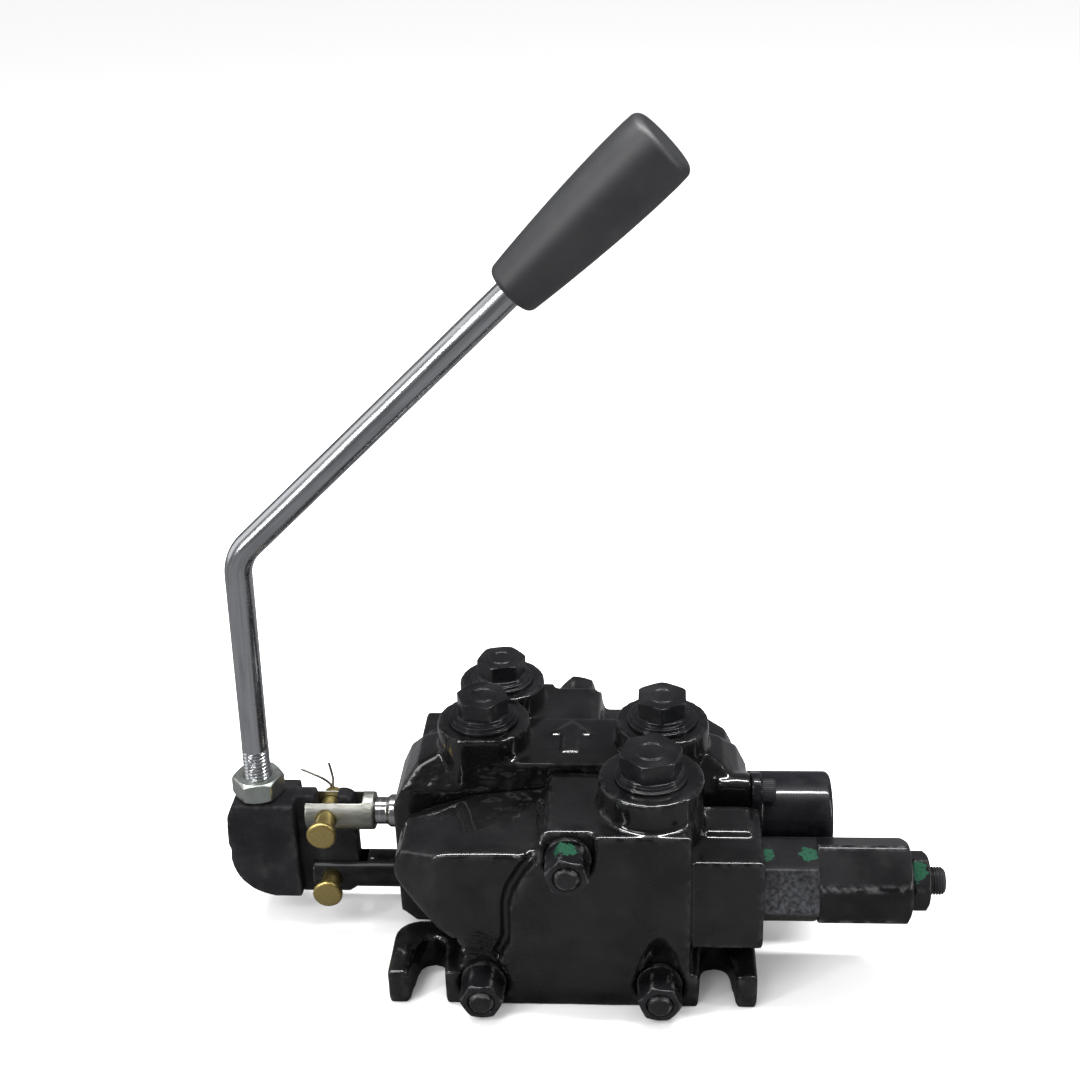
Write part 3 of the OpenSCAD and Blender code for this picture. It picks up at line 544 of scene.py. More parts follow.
def put_mesh(name, points, faces, node, material, attributes=()):
    """Makes a piece from points and faces, smooth but for its sharp corners."""
    mesh = bpy.data.meshes.new(name)
    mesh.from_pydata(points.tolist(), [], faces)
    mesh.update()
    for label, values in dict(attributes).items():
        kind = "FLOAT_VECTOR" if values.ndim == 2 else "FLOAT"
        layer = mesh.attributes.new(label, kind, "POINT")
        layer.data.foreach_set("vector" if values.ndim == 2 else "value", values.astype(np.float32).ravel())
    mesh.shade_smooth()
    mesh.set_sharp_from_angle(angle=math.radians(38))
    return stand_in(name, mesh, node, material)


def grid_faces(rows, columns, ring=False):
    """Four-sided faces between neighbouring rows, closed round the columns, and for a ring the rows too."""
    i, j = np.meshgrid(np.arange(rows if ring else rows - 1), np.arange(columns), indexing="ij")
    k = (j + 1) % columns
    below = (i + 1) % rows
    return np.stack([i * columns + j, i * columns + k, below * columns + k, below * columns + j],
                    -1).reshape(-1, 4)


def capped(rows):
    """A tube of rows (rows x columns x 3) closed at each end by a fan onto the row's middle."""
    count, columns, _ = rows.shape
    points = np.concatenate([rows.reshape(-1, 3), rows[0].mean(0)[None], rows[-1].mean(0)[None]])
    j = np.arange(columns)
    k = (j + 1) % columns
    low = np.stack([np.full(columns, count * columns), k, j], -1)
    high = np.stack([np.full(columns, count * columns + 1), (count - 1) * columns + j,
                     (count - 1) * columns + k], -1)
    return points, grid_faces(count, columns).tolist() + low.tolist() + high.tolist()


def softened(corners, step):
    """A profile through corners (radius, height, rounding, hexed): each corner is cut back by its rounding
    and bridged by a parabola that the corner pulls, then straight runs are split to at most one step."""
    rows = [np.array(corners[0], float)[[0, 1, 3]]]
    for before, corner, after in zip(corners, corners[1:], corners[2:]):
        here = np.array(corner[:2], float)
        flag = float(corner[3])
        arrive = np.array(before[:2], float) - here
        leave = np.array(after[:2], float) - here
        reach = min(corner[2], np.linalg.norm(arrive) * 0.45, np.linalg.norm(leave) * 0.45)
        start = here + arrive / np.linalg.norm(arrive) * reach
        end = here + leave / np.linalg.norm(leave) * reach
        for t in ((0.0, 0.25, 0.5, 0.75, 1.0) if reach > 1e-5 else (0.5,)):
            spot = start * (1 - t) ** 2 + here * 2 * t * (1 - t) + end * t * t
            rows.append(np.array([spot[0], spot[1], flag]))
    rows.append(np.array(corners[-1], float)[[0, 1, 3]])
    dense = [rows[0]]
    for a, b in zip(rows, rows[1:]):
        pieces = max(1, int(math.ceil(np.linalg.norm(b[:2] - a[:2]) / step)))
        for t in np.arange(1, pieces + 1) / pieces:
            dense.append(np.array([*(a[:2] * (1 - t) + b[:2] * t), b[2] if t > 0.5 else a[2]]))
    return np.array(dense)


def soft_hexagon(angle, half_flat, softness=70.0):
    """Radius of a hexagon with slightly rounded corners: one over the p-norm of the six flats' shares."""
    flats = np.radians(30 + 60 * np.arange(6))
    shares = np.clip(np.cos(angle[:, None] - flats), 0, None) / half_flat
    return (shares ** softness).sum(1) ** (-1 / softness)


AXES = {
    "up": ((1, 0, 0), (0, 1, 0), (0, 0, 1)),
    "front": ((1, 0, 0), (0, 0, 1), (0, -1, 0)),
    "rear": ((1, 0, 0), (0, 0, -1), (0, 1, 0)),
    "right": ((0, 0, -1), (0, 1, 0), (1, 0, 0)),
}


def tilted_axes(angle):
    """Axes of a piece whose own Z leans from upright towards +X by the angle."""
    return ((math.cos(angle), 0, -math.sin(angle)), (0, 1, 0), (math.sin(angle), 0, math.cos(angle)))


def round_rows(radius, angle, profile):
    """Points round the Z axis: a row for each height of the profile, a column for each angle."""
    heights = np.broadcast_to(profile[:, 1:2], radius.shape)
    return np.stack([radius * np.cos(angle), radius * np.sin(angle), heights], -1)


def turned_rows(corners, half_flat=0.0, turn=0.0, sides=96, step=1.0 * MM, shape=None):
    """Rows of a turned piece on its own Z axis: at each height the radius is the profile's, limited by the
    hexagon where the row is hexed (a soft minimum of the two), or changed by the shape function."""
    profile = softened(corners, step)
    angle = ROUND * np.arange(sides) / sides
    radius = np.repeat(profile[:, :1], sides, 1)
    if half_flat:
        limit = soft_hexagon(angle - math.radians(turn), half_flat)[None, :]
        safe = np.maximum(radius, 1e-6)
        both = ((safe / half_flat) ** -60.0 + (limit / half_flat) ** -60.0) ** (-1 / 60.0) * half_flat
        radius = np.where(profile[:, 2:] > 0.5, both, radius)
    if shape is not None:
        radius = shape(radius, angle[None, :], profile[:, 1:2])
    return round_rows(radius, angle, profile)


def edge_share(points, faces, strength=1.0, size=1.0 * MM):
    """How convex the surface is at each point: minus the height of the neighbours' mean above the point along
    its normal, as a share of a rounding of the given size."""
    mesh = bpy.data.meshes.new("measure")
    mesh.from_pydata(points.tolist(), [], faces)
    mesh.update()
    ends, normals = edge_ends(mesh), point_normals(mesh)
    bpy.data.meshes.remove(mesh)
    return convexity(points, ends, normals, strength, size)


def edge_ends(mesh):
    """The two point numbers of every edge."""
    return read_array(mesh.edges, "vertices", 2, np.int32)


def point_normals(mesh):
    """Every point's normal."""
    return read_array(mesh.vertices, "normal", 3)


def neighbour_mean(values, ends):
    """The mean of each point's neighbours, for one or more columns of values."""
    count = len(values)
    total = np.zeros((count, values.shape[1]))
    degree = np.bincount(ends.ravel(), minlength=count)[:, None]
    for column in range(values.shape[1]):
        total[:, column] = np.bincount(ends[:, 0], values[ends[:, 1], column], count)
        total[:, column] += np.bincount(ends[:, 1], values[ends[:, 0], column], count)
    return total / np.maximum(degree, 1)


def convexity(points, ends, normals, strength, size):
    """Bulge of each point over its neighbours: nought in hollows and on flats, one on sharp rims."""
    bulge = -((neighbour_mean(points, ends) - points) * normals).sum(1) / size
    bulge = neighbour_mean(bulge[:, None], ends)[:, 0]
    return np.clip(bulge * strength, 0, 1)


def stand(rows, at, axes, ring=False):
    """Closes the rows of a turned part, stands it on the axes at a place, and keeps the straight coordinates
    as the part's own."""
    if ring:
        lay = rows.reshape(-1, 3)
        faces = grid_faces(rows.shape[0], rows.shape[1], True).tolist()
    else:
        lay, faces = capped(rows)
    return lay @ np.array(axes, float) + np.array(at, float), faces, lay


def joined(parts):
    """Several (points, faces, lay) parts as one."""
    points, lays, faces, offset = [], [], [], 0
    for part, own, lay in parts:
        points.append(part)
        lays.append(lay)
        faces += [[v + offset for v in face] for face in own]
        offset += len(part)
    return np.concatenate(points), faces, np.concatenate(lays)


def turned_piece(name, node, material, parts, edge=1.0, size=0.35 * MM):
    """A piece made of turned parts, with its own coordinates and its rims stored on it."""
    points, faces, lay = joined(parts)
    return put_mesh(name, points, faces, node, material,
                    {"lay": lay, "edge": edge_share(points, faces, edge, size)})


# ---- cast pieces ------------------------------------------------------------------


def lumps(points, size, seed):
    """Smooth random hills from -1 to 1: random heights on a cubic lattice of the given size, joined along
    each axis by the fade 3t^2 - 2t^3."""
    table = np.random.default_rng(seed).uniform(-1, 1, (64, 64, 64))
    cell = np.floor(points / size).astype(int)
    t = points / size - cell
    t = t * t * (3 - 2 * t)
    total = np.zeros(len(points))
    for corner in np.ndindex(2, 2, 2):
        i, j, k = ((cell + corner) % 64).T
        total += table[i, j, k] * np.prod(np.where(corner, t, 1 - t), axis=1)
    return total


WELD = 0.002 * MM


def cad_copy(node):
    """The CAD node's shape as a new mesh, its loose triangles joined at their shared corners."""
    mesh = frame["nodes"][node].data.copy()
    points = read_array(mesh.vertices, "co", 3)
    corners = read_array(mesh.loops, "vertex_index", 1, np.int32).ravel()
    keys, where = np.unique(np.round(points / WELD).astype(np.int64), axis=0, return_inverse=True)
    whole = where.ravel()[corners].reshape(-1, 3)
    keep = (whole[:, 0] != whole[:, 1]) & (whole[:, 1] != whole[:, 2]) & (whole[:, 2] != whole[:, 0])
    bpy.data.meshes.remove(mesh)
    joined_mesh = bpy.data.meshes.new("copy")
    joined_mesh.from_pydata((keys * WELD).tolist(), [], whole[keep].tolist())
    joined_mesh.update()
    return joined_mesh


def cast_piece(name, node, material, voxel, rounds, swell=0.10 * MM, skin=None, keep=None):
    """A casting from its CAD node: an even net of one voxel, each point moved towards its neighbours' mean
    for some rounds, which rounds rims and fills corners, then moved along its normal by slow hills. Where
    keep is one, the points stay."""
    holder = bpy.data.objects.new("holder", cad_copy(node))
    bpy.context.scene.collection.objects.link(holder)
    net = holder.modifiers.new("net", "REMESH")
    net.mode = "VOXEL"
    net.voxel_size = voxel
    graph = bpy.context.evaluated_depsgraph_get()
    mesh = bpy.data.meshes.new_from_object(holder.evaluated_get(graph))
    bpy.data.objects.remove(holder)
    ends = edge_ends(mesh)
    points = read_array(mesh.vertices, "co", 3).astype(float)
    free = np.ones(len(points)) if keep is None else 1 - keep(points)
    for _ in range(rounds):
        points += (neighbour_mean(points, ends) - points) * 0.6 * free[:, None]
    mesh.vertices.foreach_set("co", points.astype(np.float32).ravel())
    mesh.update()
    normals = point_normals(mesh)
    edge = convexity(points, ends, normals, 1.0, 0.16 * voxel)
    hills = lumps(points, 16 * MM, 3) * swell + lumps(points, 5 * MM, 4) * swell * 0.45
    if skin is not None:
        hills = hills + skin(points)
    points += normals * (hills * free)[:, None]
    mesh.vertices.foreach_set("co", points.astype(np.float32).ravel())
    layer = mesh.attributes.new("edge", "FLOAT", "POINT")
    layer.data.foreach_set("value", edge.astype(np.float32))
    mesh.name = name
    mesh.update()
    mesh.shade_smooth()
    mesh.materials.clear()
    return stand_in(name, mesh, node, material)


def step_up(value, low, high):
    """Nought below low, one above high, the fade 3t^2 - 2t^3 between them."""
    t = np.clip((value - low) / (high - low), 0, 1)
    return t * t * (3 - 2 * t)


TIE_R = 5.55 * MM
tie_places = [(rods_lo.x + TIE_R, rods_lo.z + TIE_R), (rods_hi.x - TIE_R, rods_lo.z + TIE_R),
              (0, rods_hi.z - TIE_R)]
work_lo, work_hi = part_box("work_section")
inlet_lo, inlet_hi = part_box("inlet_section")


def work_skin(points):
    """Coarse sand texture on the work section's front wall and shoulders, under the plate's edge."""
    front = 1 - step_up(points[:, 1], work_lo.y + 1.5 * MM, work_lo.y + 12 * MM)
    tall = step_up(points[:, 2], 70 * MM, 80 * MM) * (1 - step_up(points[:, 2], 96.3 * MM, 97.2 * MM))
    middle = 1 - 0.8 * step_up(np.abs(points[:, 0]), 38 * MM, 46 * MM)
    return front * tall * middle * (lumps(points, 2.4 * MM, 8) * 0.62 * MM
                                    + lumps(points, 5 * MM, 9) * 0.5 * MM)


ARROW_REACH = (14 * MM, 17 * MM)
ARROW_FOOT = 96 * MM
RECESS_R = 17.5 * MM
RECESS_RUN = 12 * MM


def work_keep(points):
    """More of the shape is kept round the raised flow arrow, and all of it in the recess that the inner
    spring seat slides into."""
    near = (np.abs(points[:, :2]) < ARROW_REACH).all(1) & (points[:, 2] > ARROW_FOOT)
    seat_lo, seat_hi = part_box("spring_seat_inner")
    middle = (seat_lo + seat_hi) / 2
    off_axis = np.hypot(points[:, 1] - middle.y, points[:, 2] - middle.z)
    recess = (off_axis < RECESS_R) & (points[:, 0] > seat_lo.x - RECESS_RUN)
    return np.maximum(near * 0.6, recess * 1.0)


# left edge of the inlet section's proud face, from the top down, X and Z
FACE_EDGE = ((-12, 91), (-13.5, 81), (-19, 74), (-24.5, 64), (-26.5, 56), (-27, 37), (-31.5, 27))


def beside_path(points, path):
    """Signed distance in the XZ plane to a run of straight spans, positive on its left going down."""
    best = np.full(len(points), 1.0)
    signed = np.zeros(len(points))
    spot = points[:, [0, 2]]
    for a, b in zip(path, path[1:]):
        a, b = np.array(a) * MM, np.array(b) * MM
        span = b - a
        t = np.clip(((spot - a) @ span) / (span @ span), 0, 1)
        away = spot - a - t[:, None] * span
        distance = np.linalg.norm(away, axis=1)
        side = np.sign(span[0] * away[:, 1] - span[1] * away[:, 0])
        closer = distance < best
        best = np.where(closer, distance, best)
        signed = np.where(closer, distance * -side, signed)
    return signed


def inlet_skin(points):
    """A raised roll along the proud face's left edge with a cove beside it, and three ripples round the
    seat of the lower left nut."""
    front = 1 - step_up(points[:, 1], inlet_lo.y + 5 * MM, inlet_lo.y + 7 * MM)
    beside = beside_path(points, FACE_EDGE)
    roll = 1.3 * MM * np.exp(-((beside + 1.9 * MM) / (1.9 * MM)) ** 2)
    ledge = 0.9 * MM * np.exp(-((beside - 5.2 * MM) / (1.5 * MM)) ** 2)
    cove = -1.5 * MM * np.exp(-((beside - 2.4 * MM) / (1.9 * MM)) ** 2)
    low_x, low_z = tie_places[0]
    across = points[:, 0] - low_x
    rise = points[:, 2] - low_z
    ring = np.hypot(across, rise)
    inside = step_up(ring, 12.5 * MM, 14 * MM) * (1 - step_up(ring, 25 * MM, 27 * MM))
    above = (step_up(rise, 6 * MM, 12 * MM) * (1 - step_up(across, 4 * MM, 8 * MM))
             * step_up(across, -16 * MM, -12 * MM))
    ripple = 1.1 * MM * np.sin(ROUND * (ring + across * 0.35) / (4.4 * MM)) * inside * above
    return front * (roll + cove + ledge + ripple)


def make_castings():
    """The three sections of the stack, the lever bracket, the fork parts and the spring cap."""
    cast_piece("inlet_casting", "inlet_section", ENAMEL, 1.1 * MM, 4, skin=inlet_skin)
    cast_piece("work_casting", "work_section", ENAMEL, 1.0 * MM, 6, skin=work_skin,
               keep=work_keep)
    cast_piece("outlet_casting", "outlet_section", ENAMEL, 1.1 * MM, 4)
    cast_piece("lever_bracket", "handle_bracket", MATTE_BLACK, 0.8 * MM, 5, swell=0.08 * MM)
    cast_piece("fork_lug", "pivot_lug", LUG_BLACK, 0.5 * MM, 3, swell=0.02 * MM)
    cast_piece("spool_fork", "spool_clevis", CLEVIS_ZINC, 0.5 * MM, 3, swell=0.01 * MM)
    cast_piece("spring_cap_cup", "spring_cap", CAP_BLACK, 0.8 * MM, 2, swell=0.02 * MM)


make_castings()

# ---- port plugs ---------------------------------------------------------------------

CHAMFER = math.tan(math.radians(30))


def port_plug(name, node, shank, flange, half_flat, step, head, turn):
    """A plug: shank, thin flange, two stepped collars and a hexagon with its corners just broken, its top
    forged with one low plain ring."""
    lo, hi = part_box(node)
    seat = hi.z - 3 * step - head
    top = 3 * step + head
    crown = half_flat * 1.075
    big = half_flat * 1.22
    slope = (big - crown) * CHAMFER
    ring = half_flat * 0.52
    foot = half_flat + 1.6 * MM
    lift = 0.35 * MM
    corners = [
        (0, -12 * MM, 0, 0), (shank, -12 * MM, 0.8 * MM, 0), (shank, -0.3 * MM, 0, 0),
        (flange - 0.4 * MM, -0.1 * MM, 0.3 * MM, 0), (flange, 0.4 * MM, 0.4 * MM, 0),
        (flange, step - 0.1 * MM, 0.5 * MM, 0), (flange - 1.3 * MM, step + 0.1 * MM, 0.2 * MM, 0),
        (flange - 1.5 * MM, 2 * step - 0.1 * MM, 0.4 * MM, 0),
        (foot + 0.4 * MM, 2 * step + 0.1 * MM, 0.2 * MM, 0),
        (foot, 3 * step - 0.1 * MM, 0.5 * MM, 0), (half_flat + 0.4 * MM, 3 * step, 0.1 * MM, 0),
        (big, 3 * step + 0.1 * MM, 0, 1), (big, top - slope, 0, 1), (crown, top, 0.6 * MM, 1),
        (ring + 0.9 * MM, top - 0.15 * MM, 0.3 * MM, 0), (ring + 0.45 * MM, top + lift, 0.3 * MM, 0),
        (ring - 0.45 * MM, top + lift, 0.3 * MM, 0), (ring - 0.9 * MM, top - 0.15 * MM, 0.3 * MM, 0),
        (0, top - 0.2 * MM, 0, 0),
    ]
    rows = turned_rows(corners, half_flat, turn, 120, 0.8 * MM)
    spot = ((lo.x + hi.x) / 2, (lo.y + hi.y) / 2, seat)
    turned_piece(name, node, PLUG_BLACK, [stand(rows, spot, AXES["up"])])


port_plug("inlet_plug", "inlet_port_plug", 10.9 * MM, 16.5 * MM, 12.7 * MM, 1.45 * MM, 8.8 * MM, 15)
port_plug("work_plug_left", "work_port_plug_left", 9.4 * MM, 16.5 * MM, 11.1 * MM, 1.7 * MM, 8 * MM, 48)
port_plug("work_plug_right", "work_port_plug_right", 9.4 * MM, 16.5 * MM, 11.1 * MM, 1.7 * MM, 8 * MM, 29)
port_plug("outlet_plug", "outlet_port_plug", 9.4 * MM, 15.6 * MM, 10.6 * MM, 1.5 * MM, 7.7 * MM, 11)

# ---- tie rods, nuts and washers -------------------------------------------------------

TIE_PITCH = 1.81 * MM
TIE_NUT_HALF = 8.75 * MM
TIE_NUT_T = 14 * MM


def threaded(radius, angle, height, pitch, depth, zones):
    """A screw thread cut into a bar: the radius less a triangle wave of height over pitch minus the turn,
    faded in at the ends of each zone."""
    phase = height / pitch - angle / ROUND
    wave = np.abs(phase - np.floor(phase) - 0.5) * 2
    inside = sum(step_up(height, a, a + pitch) * (1 - step_up(height, b - pitch, b)) for a, b in zones)
    return radius - depth * (1 - step_up(wave, 0.15, 0.85)) * inside


def nut_rows(half_flat, height, hole, turn, both=False):
    """Rows of a nut round its hole, a ring profile: bore, flat foot, hexagon with its corners turned off at
    the top or at both ends."""
    crown = half_flat * 0.95
    big = half_flat * 1.22
    slope = (big - crown) * CHAMFER
    foot = [(crown, 0, 0.3 * MM, 1), (big, slope, 0, 1)] if both else [(big, 0, 0.2 * MM, 1)]
    corners = [(hole, height / 2, 0, 0), (hole, 0.8 * MM, 0.3 * MM, 0), (hole + 0.8 * MM, 0, 0.2 * MM, 0),
               *foot, (big, height - slope, 0, 1), (crown, height, 0.3 * MM, 1),
               (hole + 1.0 * MM, height, 0.3 * MM, 0), (hole, height - 1.0 * MM, 0.3 * MM, 0),
               (hole, height / 2 + 0.01 * MM, 0, 0)]
    return turned_rows(corners, half_flat, turn, step=0.8 * MM)


def tie_rod_rows():
    """A rod with rolled threads at both ends and rounded tips."""
    length = rods_hi.y - rods_lo.y
    tip = 22 * MM
    corners = [(0, 0, 0, 0), (TIE_R - 1.1 * MM, 0, 0.4 * MM, 0), (TIE_R, 1.2 * MM, 0.5 * MM, 0),
               (TIE_R, tip, 0, 0)]
    other = [(r, length - z, c, f) for r, z, c, f in reversed(corners)]
    profile = np.concatenate([softened(corners, 0.2 * MM), softened(other, 0.2 * MM)])
    sides = 48
    angle = ROUND * np.arange(sides)[None, :] / sides
    radius = np.repeat(profile[:, :1], sides, 1)
    zones = [(0.2 * MM, tip), (length - tip, length - 0.2 * MM)]
    near = profile[:, :1] > TIE_R * 0.75
    cut = threaded(radius, angle, profile[:, 1:2], TIE_PITCH, 0.75 * MM, zones)
    return round_rows(np.where(near, cut, radius), angle, profile)


def make_tie_rods():
    """Three rods, each with a washer and a nut at both ends."""
    seat_front = nuts_hi.y
    seat_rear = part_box("tie_rod_nuts_rear")[0].y
    washer_t = 2.5 * MM
    bore = TIE_R + 0.2 * MM
    outside = 10.4 * MM
    washer = [(bore, washer_t / 2, 0, 0), (bore, 0, 0.2 * MM, 0), (outside, 0, 0.4 * MM, 0),
              (outside, washer_t, 0.5 * MM, 0), (bore, washer_t, 0.2 * MM, 0),
              (bore, washer_t / 2 + 0.01 * MM, 0, 0)]
    washer_rows = turned_rows(washer, sides=72)
    rods = [stand(tie_rod_rows(), (x, rods_lo.y, z), AXES["rear"]) for x, z in tie_places]
    # the strong edge share makes the rod ends' chamfers take the light rim tone, a painted highlight ring as
    # well as wear
    turned_piece("tie_rods_threaded", "tie_rods", STUD_BLACK, rods, 3.0, 0.6 * MM)
    front = [stand(nut_rows(TIE_NUT_HALF, TIE_NUT_T, TIE_R, turn), (x, seat_front, z), AXES["front"], True)
             for (x, z), turn in zip(tie_places, (0, -8, -13))]
    turned_piece("tie_nuts_front", "tie_rod_nuts_front", NUT_BLACK, front)
    rear = [stand(nut_rows(TIE_NUT_HALF, TIE_NUT_T, TIE_R, 14), (x, seat_rear, z), AXES["rear"], True)
            for x, z in tie_places]
    turned_piece("tie_nuts_rear", "tie_rod_nuts_rear", NUT_BLACK, rear)
    washers = [stand(washer_rows, (x, seat_front + washer_t, z), AXES["front"], True)
               for x, z in tie_places]
    washers += [stand(washer_rows, (x, seat_rear - washer_t, z), AXES["rear"], True)
                for x, z in tie_places]
    turned_piece("tie_washers", "tie_rod_washers", NUT_BLACK, washers)


make_tie_rods()

# ---- relief cartridge ------------------------------------------------------------------


def make_relief():
    """The hexagon body, the bonnet's hexagon at its own angle, the jam nut and the threaded screw."""
    bonnet_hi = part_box("relief_bonnet")[1]
    screw_lo, screw_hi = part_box("relief_adjusting_screw")
    y = (screw_lo.y + screw_hi.y) / 2
    z = (screw_lo.z + screw_hi.z) / 2
    face = inlet_hi.x - 0.2 * MM
    crown = RELIEF_HALF * 0.96
    big = RELIEF_HALF * 1.22
    slope = (big - crown) * CHAMFER
    run = relief_hi.x - face
    broken = RELIEF_HALF * 1.12
    low = (big - broken) * CHAMFER
    body = [(0, -20 * MM, 0, 0), (11.9 * MM, -20 * MM, 0, 0), (11.9 * MM, 0, 0, 0), (big, 0, 0.2 * MM, 1),
            (big, run - low, 0, 1), (broken, run, 0.3 * MM, 1), (11 * MM, run, 0, 0), (0, run, 0, 0)]
    body_rows = turned_rows(body, RELIEF_HALF, 30 + math.degrees(RELIEF_TILT), 120)
    turned_piece("relief_hex_body", "relief_body", RELIEF_STEEL,
                 [stand(body_rows, (face, y, z), AXES["right"])])
    run = bonnet_hi.x - relief_hi.x
    bonnet = [(0, 0, 0, 0), (11 * MM, 0, 0, 0), (broken, 0, 0.3 * MM, 1), (big, low, 0, 1),
              (big, run - slope, 0, 1), (crown, run, 0.7 * MM, 1), (screw_radius() + 1 * MM, run, 0, 0),
              (0, run, 0, 0)]
    turned_piece("relief_bonnet_hex", "relief_bonnet", BONNET_BLACK,
                 [stand(turned_rows(bonnet, RELIEF_HALF, 5, 120), (relief_hi.x, y, z), AXES["right"])])
    nut = nut_rows(11.9 * MM, jam_hi.x - jam_lo.x, screw_radius(), 12, True)
    turned_piece("relief_lock_nut", "relief_jam_nut", JAM_BLACK,
                 [stand(nut, (jam_lo.x, y, z), AXES["right"], True)])
    long = screw_hi.x - screw_lo.x
    radius = screw_radius()
    tip = [(0, 0, 0, 0), (radius - 1 * MM, 0, 0.3 * MM, 0), (radius, 1 * MM, 0.4 * MM, 0),
           (radius, long - 1.4 * MM, 0.6 * MM, 0), (radius - 1.5 * MM, long, 0.5 * MM, 0),
           (3.6 * MM, long, 0.3 * MM, 0), (3.1 * MM, long - 0.6 * MM, 0.2 * MM, 1),
           (3.1 * MM, long - 5 * MM, 0.2 * MM, 1), (0, long - 5.6 * MM, 0, 0)]
    zones = [(2 * MM, long - 0.6 * MM)]

    def cut(rows, angle, height):
        """The thread on the screw's outside, not in its socket."""
        outer = rows > radius * 0.7
        return np.where(outer, threaded(rows, angle, height, 1.27 * MM, 0.6 * MM, zones), rows)

    rows = turned_rows(tip, 2.75 * MM, 0, 72, 0.25 * MM, cut)
    turned_piece("relief_screw_threaded", "relief_adjusting_screw", SCREW_BLACK,
                 [stand(rows, (screw_lo.x, y, z), AXES["right"])])


def screw_radius():
    """Half the relief screw's width."""
    lo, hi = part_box("relief_adjusting_screw")
    return (hi.z - lo.z) / 2


make_relief()

# ---- spring cap screws ---------------------------------------------------------------------


def make_cap_screws():
    """Socket head screws: a head with a knurled side and a hexagon socket."""
    lo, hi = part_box("spring_cap_screws")
    head_r = 5.3 * MM
    head_t = 6.5 * MM
    places = [(lo.y + head_r, hi.z - head_r), (hi.y - head_r, lo.z + head_r)]
    foot = hi.x - head_t
    corners = [(0, -14 * MM, 0, 0), (2.95 * MM, -14 * MM, 0.4 * MM, 0), (2.95 * MM, 0, 0, 0),
               (head_r - 0.2 * MM, 0, 0.2 * MM, 0), (head_r, 0.5 * MM, 0.3 * MM, 0),
               (head_r, head_t - 0.9 * MM, 0.2 * MM, 0), (head_r - 0.8 * MM, head_t, 0.3 * MM, 0),
               (3.5 * MM, head_t, 0.2 * MM, 0), (3.25 * MM, head_t - 0.4 * MM, 0.1 * MM, 1),
               (3.25 * MM, head_t - 3.4 * MM, 0.1 * MM, 1), (0, head_t - 3.8 * MM, 0, 0)]

    def knurl(rows, angle, height):
        """Shallow flutes along the head's side."""
        grip = (rows > head_r - 0.05 * MM) & (height > 0.4 * MM)
        return rows - np.where(grip, 0.16 * MM * (0.5 + 0.5 * np.cos(angle * 36)), 0)

    rows = turned_rows(corners, 2.9 * MM, 0, 144, 0.7 * MM, knurl)
    turned_piece("cap_screws", "spring_cap_screws", SCREW_BLACK,
                 [stand(rows, (foot, y, z), AXES["right"]) for y, z in places])


make_cap_screws()

# ---- springs --------------------------------------------------------------------------------


def coil_spring(name, node, axes, along, turns, wire):
    """A compression spring: its centre line is a helix that rises by little more than the wire's thickness in
    the first and last turn and evenly between them; its wire is a circle spanned by the outward radius
    and the spring's axis. The wire is given by its radius."""
    lo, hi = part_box(node)
    middle = (lo + hi) / 2
    length = (hi - lo)[along]
    across = (hi - lo)[2]
    radius = across / 2 - wire
    count = 28 * turns
    turn = np.linspace(0, turns, count + 1)
    closed = 2.1 * wire
    height = np.interp(turn, [0, 1, turns - 1, turns],
                       [wire, wire + closed, length - wire - closed, length - wire])
    angle = (ROUND * turn)[:, None]
    round_wire = (ROUND * np.arange(12) / 12)[None, :]
    out = radius + wire * np.cos(round_wire)
    level = height[:, None] - wire * np.sin(round_wire)
    rows = np.stack([out * np.cos(angle), out * np.sin(angle), level], -1)
    foot = list(middle)
    foot[along] = lo[along]
    return turned_piece(name, node, SPRING_STEEL, [stand(rows, foot, axes)])


def make_springs():
    """Three coil springs: the centring spring between its seats, and the relief and load check springs, each
    with its own copy of its mesh.
    """
    coil_spring("centring_spring_coil", "centring_spring", AXES["right"], 0, 4, 1.4 * MM)
    coil = coil_spring("relief_spring_coil", "relief_spring", AXES["right"], 0, 8, 1.0 * MM)
    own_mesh(coil)
    coil = coil_spring("load_check_spring_coil", "load_check_spring", AXES["rear"], 1, 5, 0.6 * MM)
    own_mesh(coil)


make_springs()

# ---- spool ----------------------------------------------------------------------------------


def make_spool():
    """The ground spool: a narrow neck at the fork, a bevelled shoulder and four metering grooves."""
    lo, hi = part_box("spool")
    radius = (hi.z - lo.z) / 2
    length = hi.x - lo.x
    shoulder = 7.5 * MM
    corners = [(0, 0, 0, 0), (6.2 * MM, 0, 0.3 * MM, 0), (6.6 * MM, 0.6 * MM, 0.3 * MM, 0),
               (6.6 * MM, shoulder - 1.6 * MM, 0.6 * MM, 0),
               (radius - 0.9 * MM, shoulder - 0.9 * MM, 0.4 * MM, 0),
               (radius, shoulder + 0.3 * MM, 0.4 * MM, 0)]
    for start in (-54, -28, 10, 36):
        a = start * MM - lo.x
        corners += [(radius, a, 0.2 * MM, 0), (5 * MM, a + 0.2 * MM, 0.5 * MM, 0),
                    (5 * MM, a + 17.8 * MM, 0.5 * MM, 0), (radius, a + 18 * MM, 0.2 * MM, 0)]
    corners += [(radius, length - 0.5 * MM, 0.4 * MM, 0), (radius - 0.5 * MM, length, 0.2 * MM, 0),
                (0, length, 0, 0)]
    rows = turned_rows(corners, sides=96, step=1.5 * MM)
    spot = (lo.x, (lo.y + hi.y) / 2, (lo.z + hi.z) / 2)
    turned_piece("spool_ground", "spool", GROUND_STEEL, [stand(rows, spot, AXES["right"])])


make_spool()

# ---- pins and cotters --------------------------------------------------------------------------


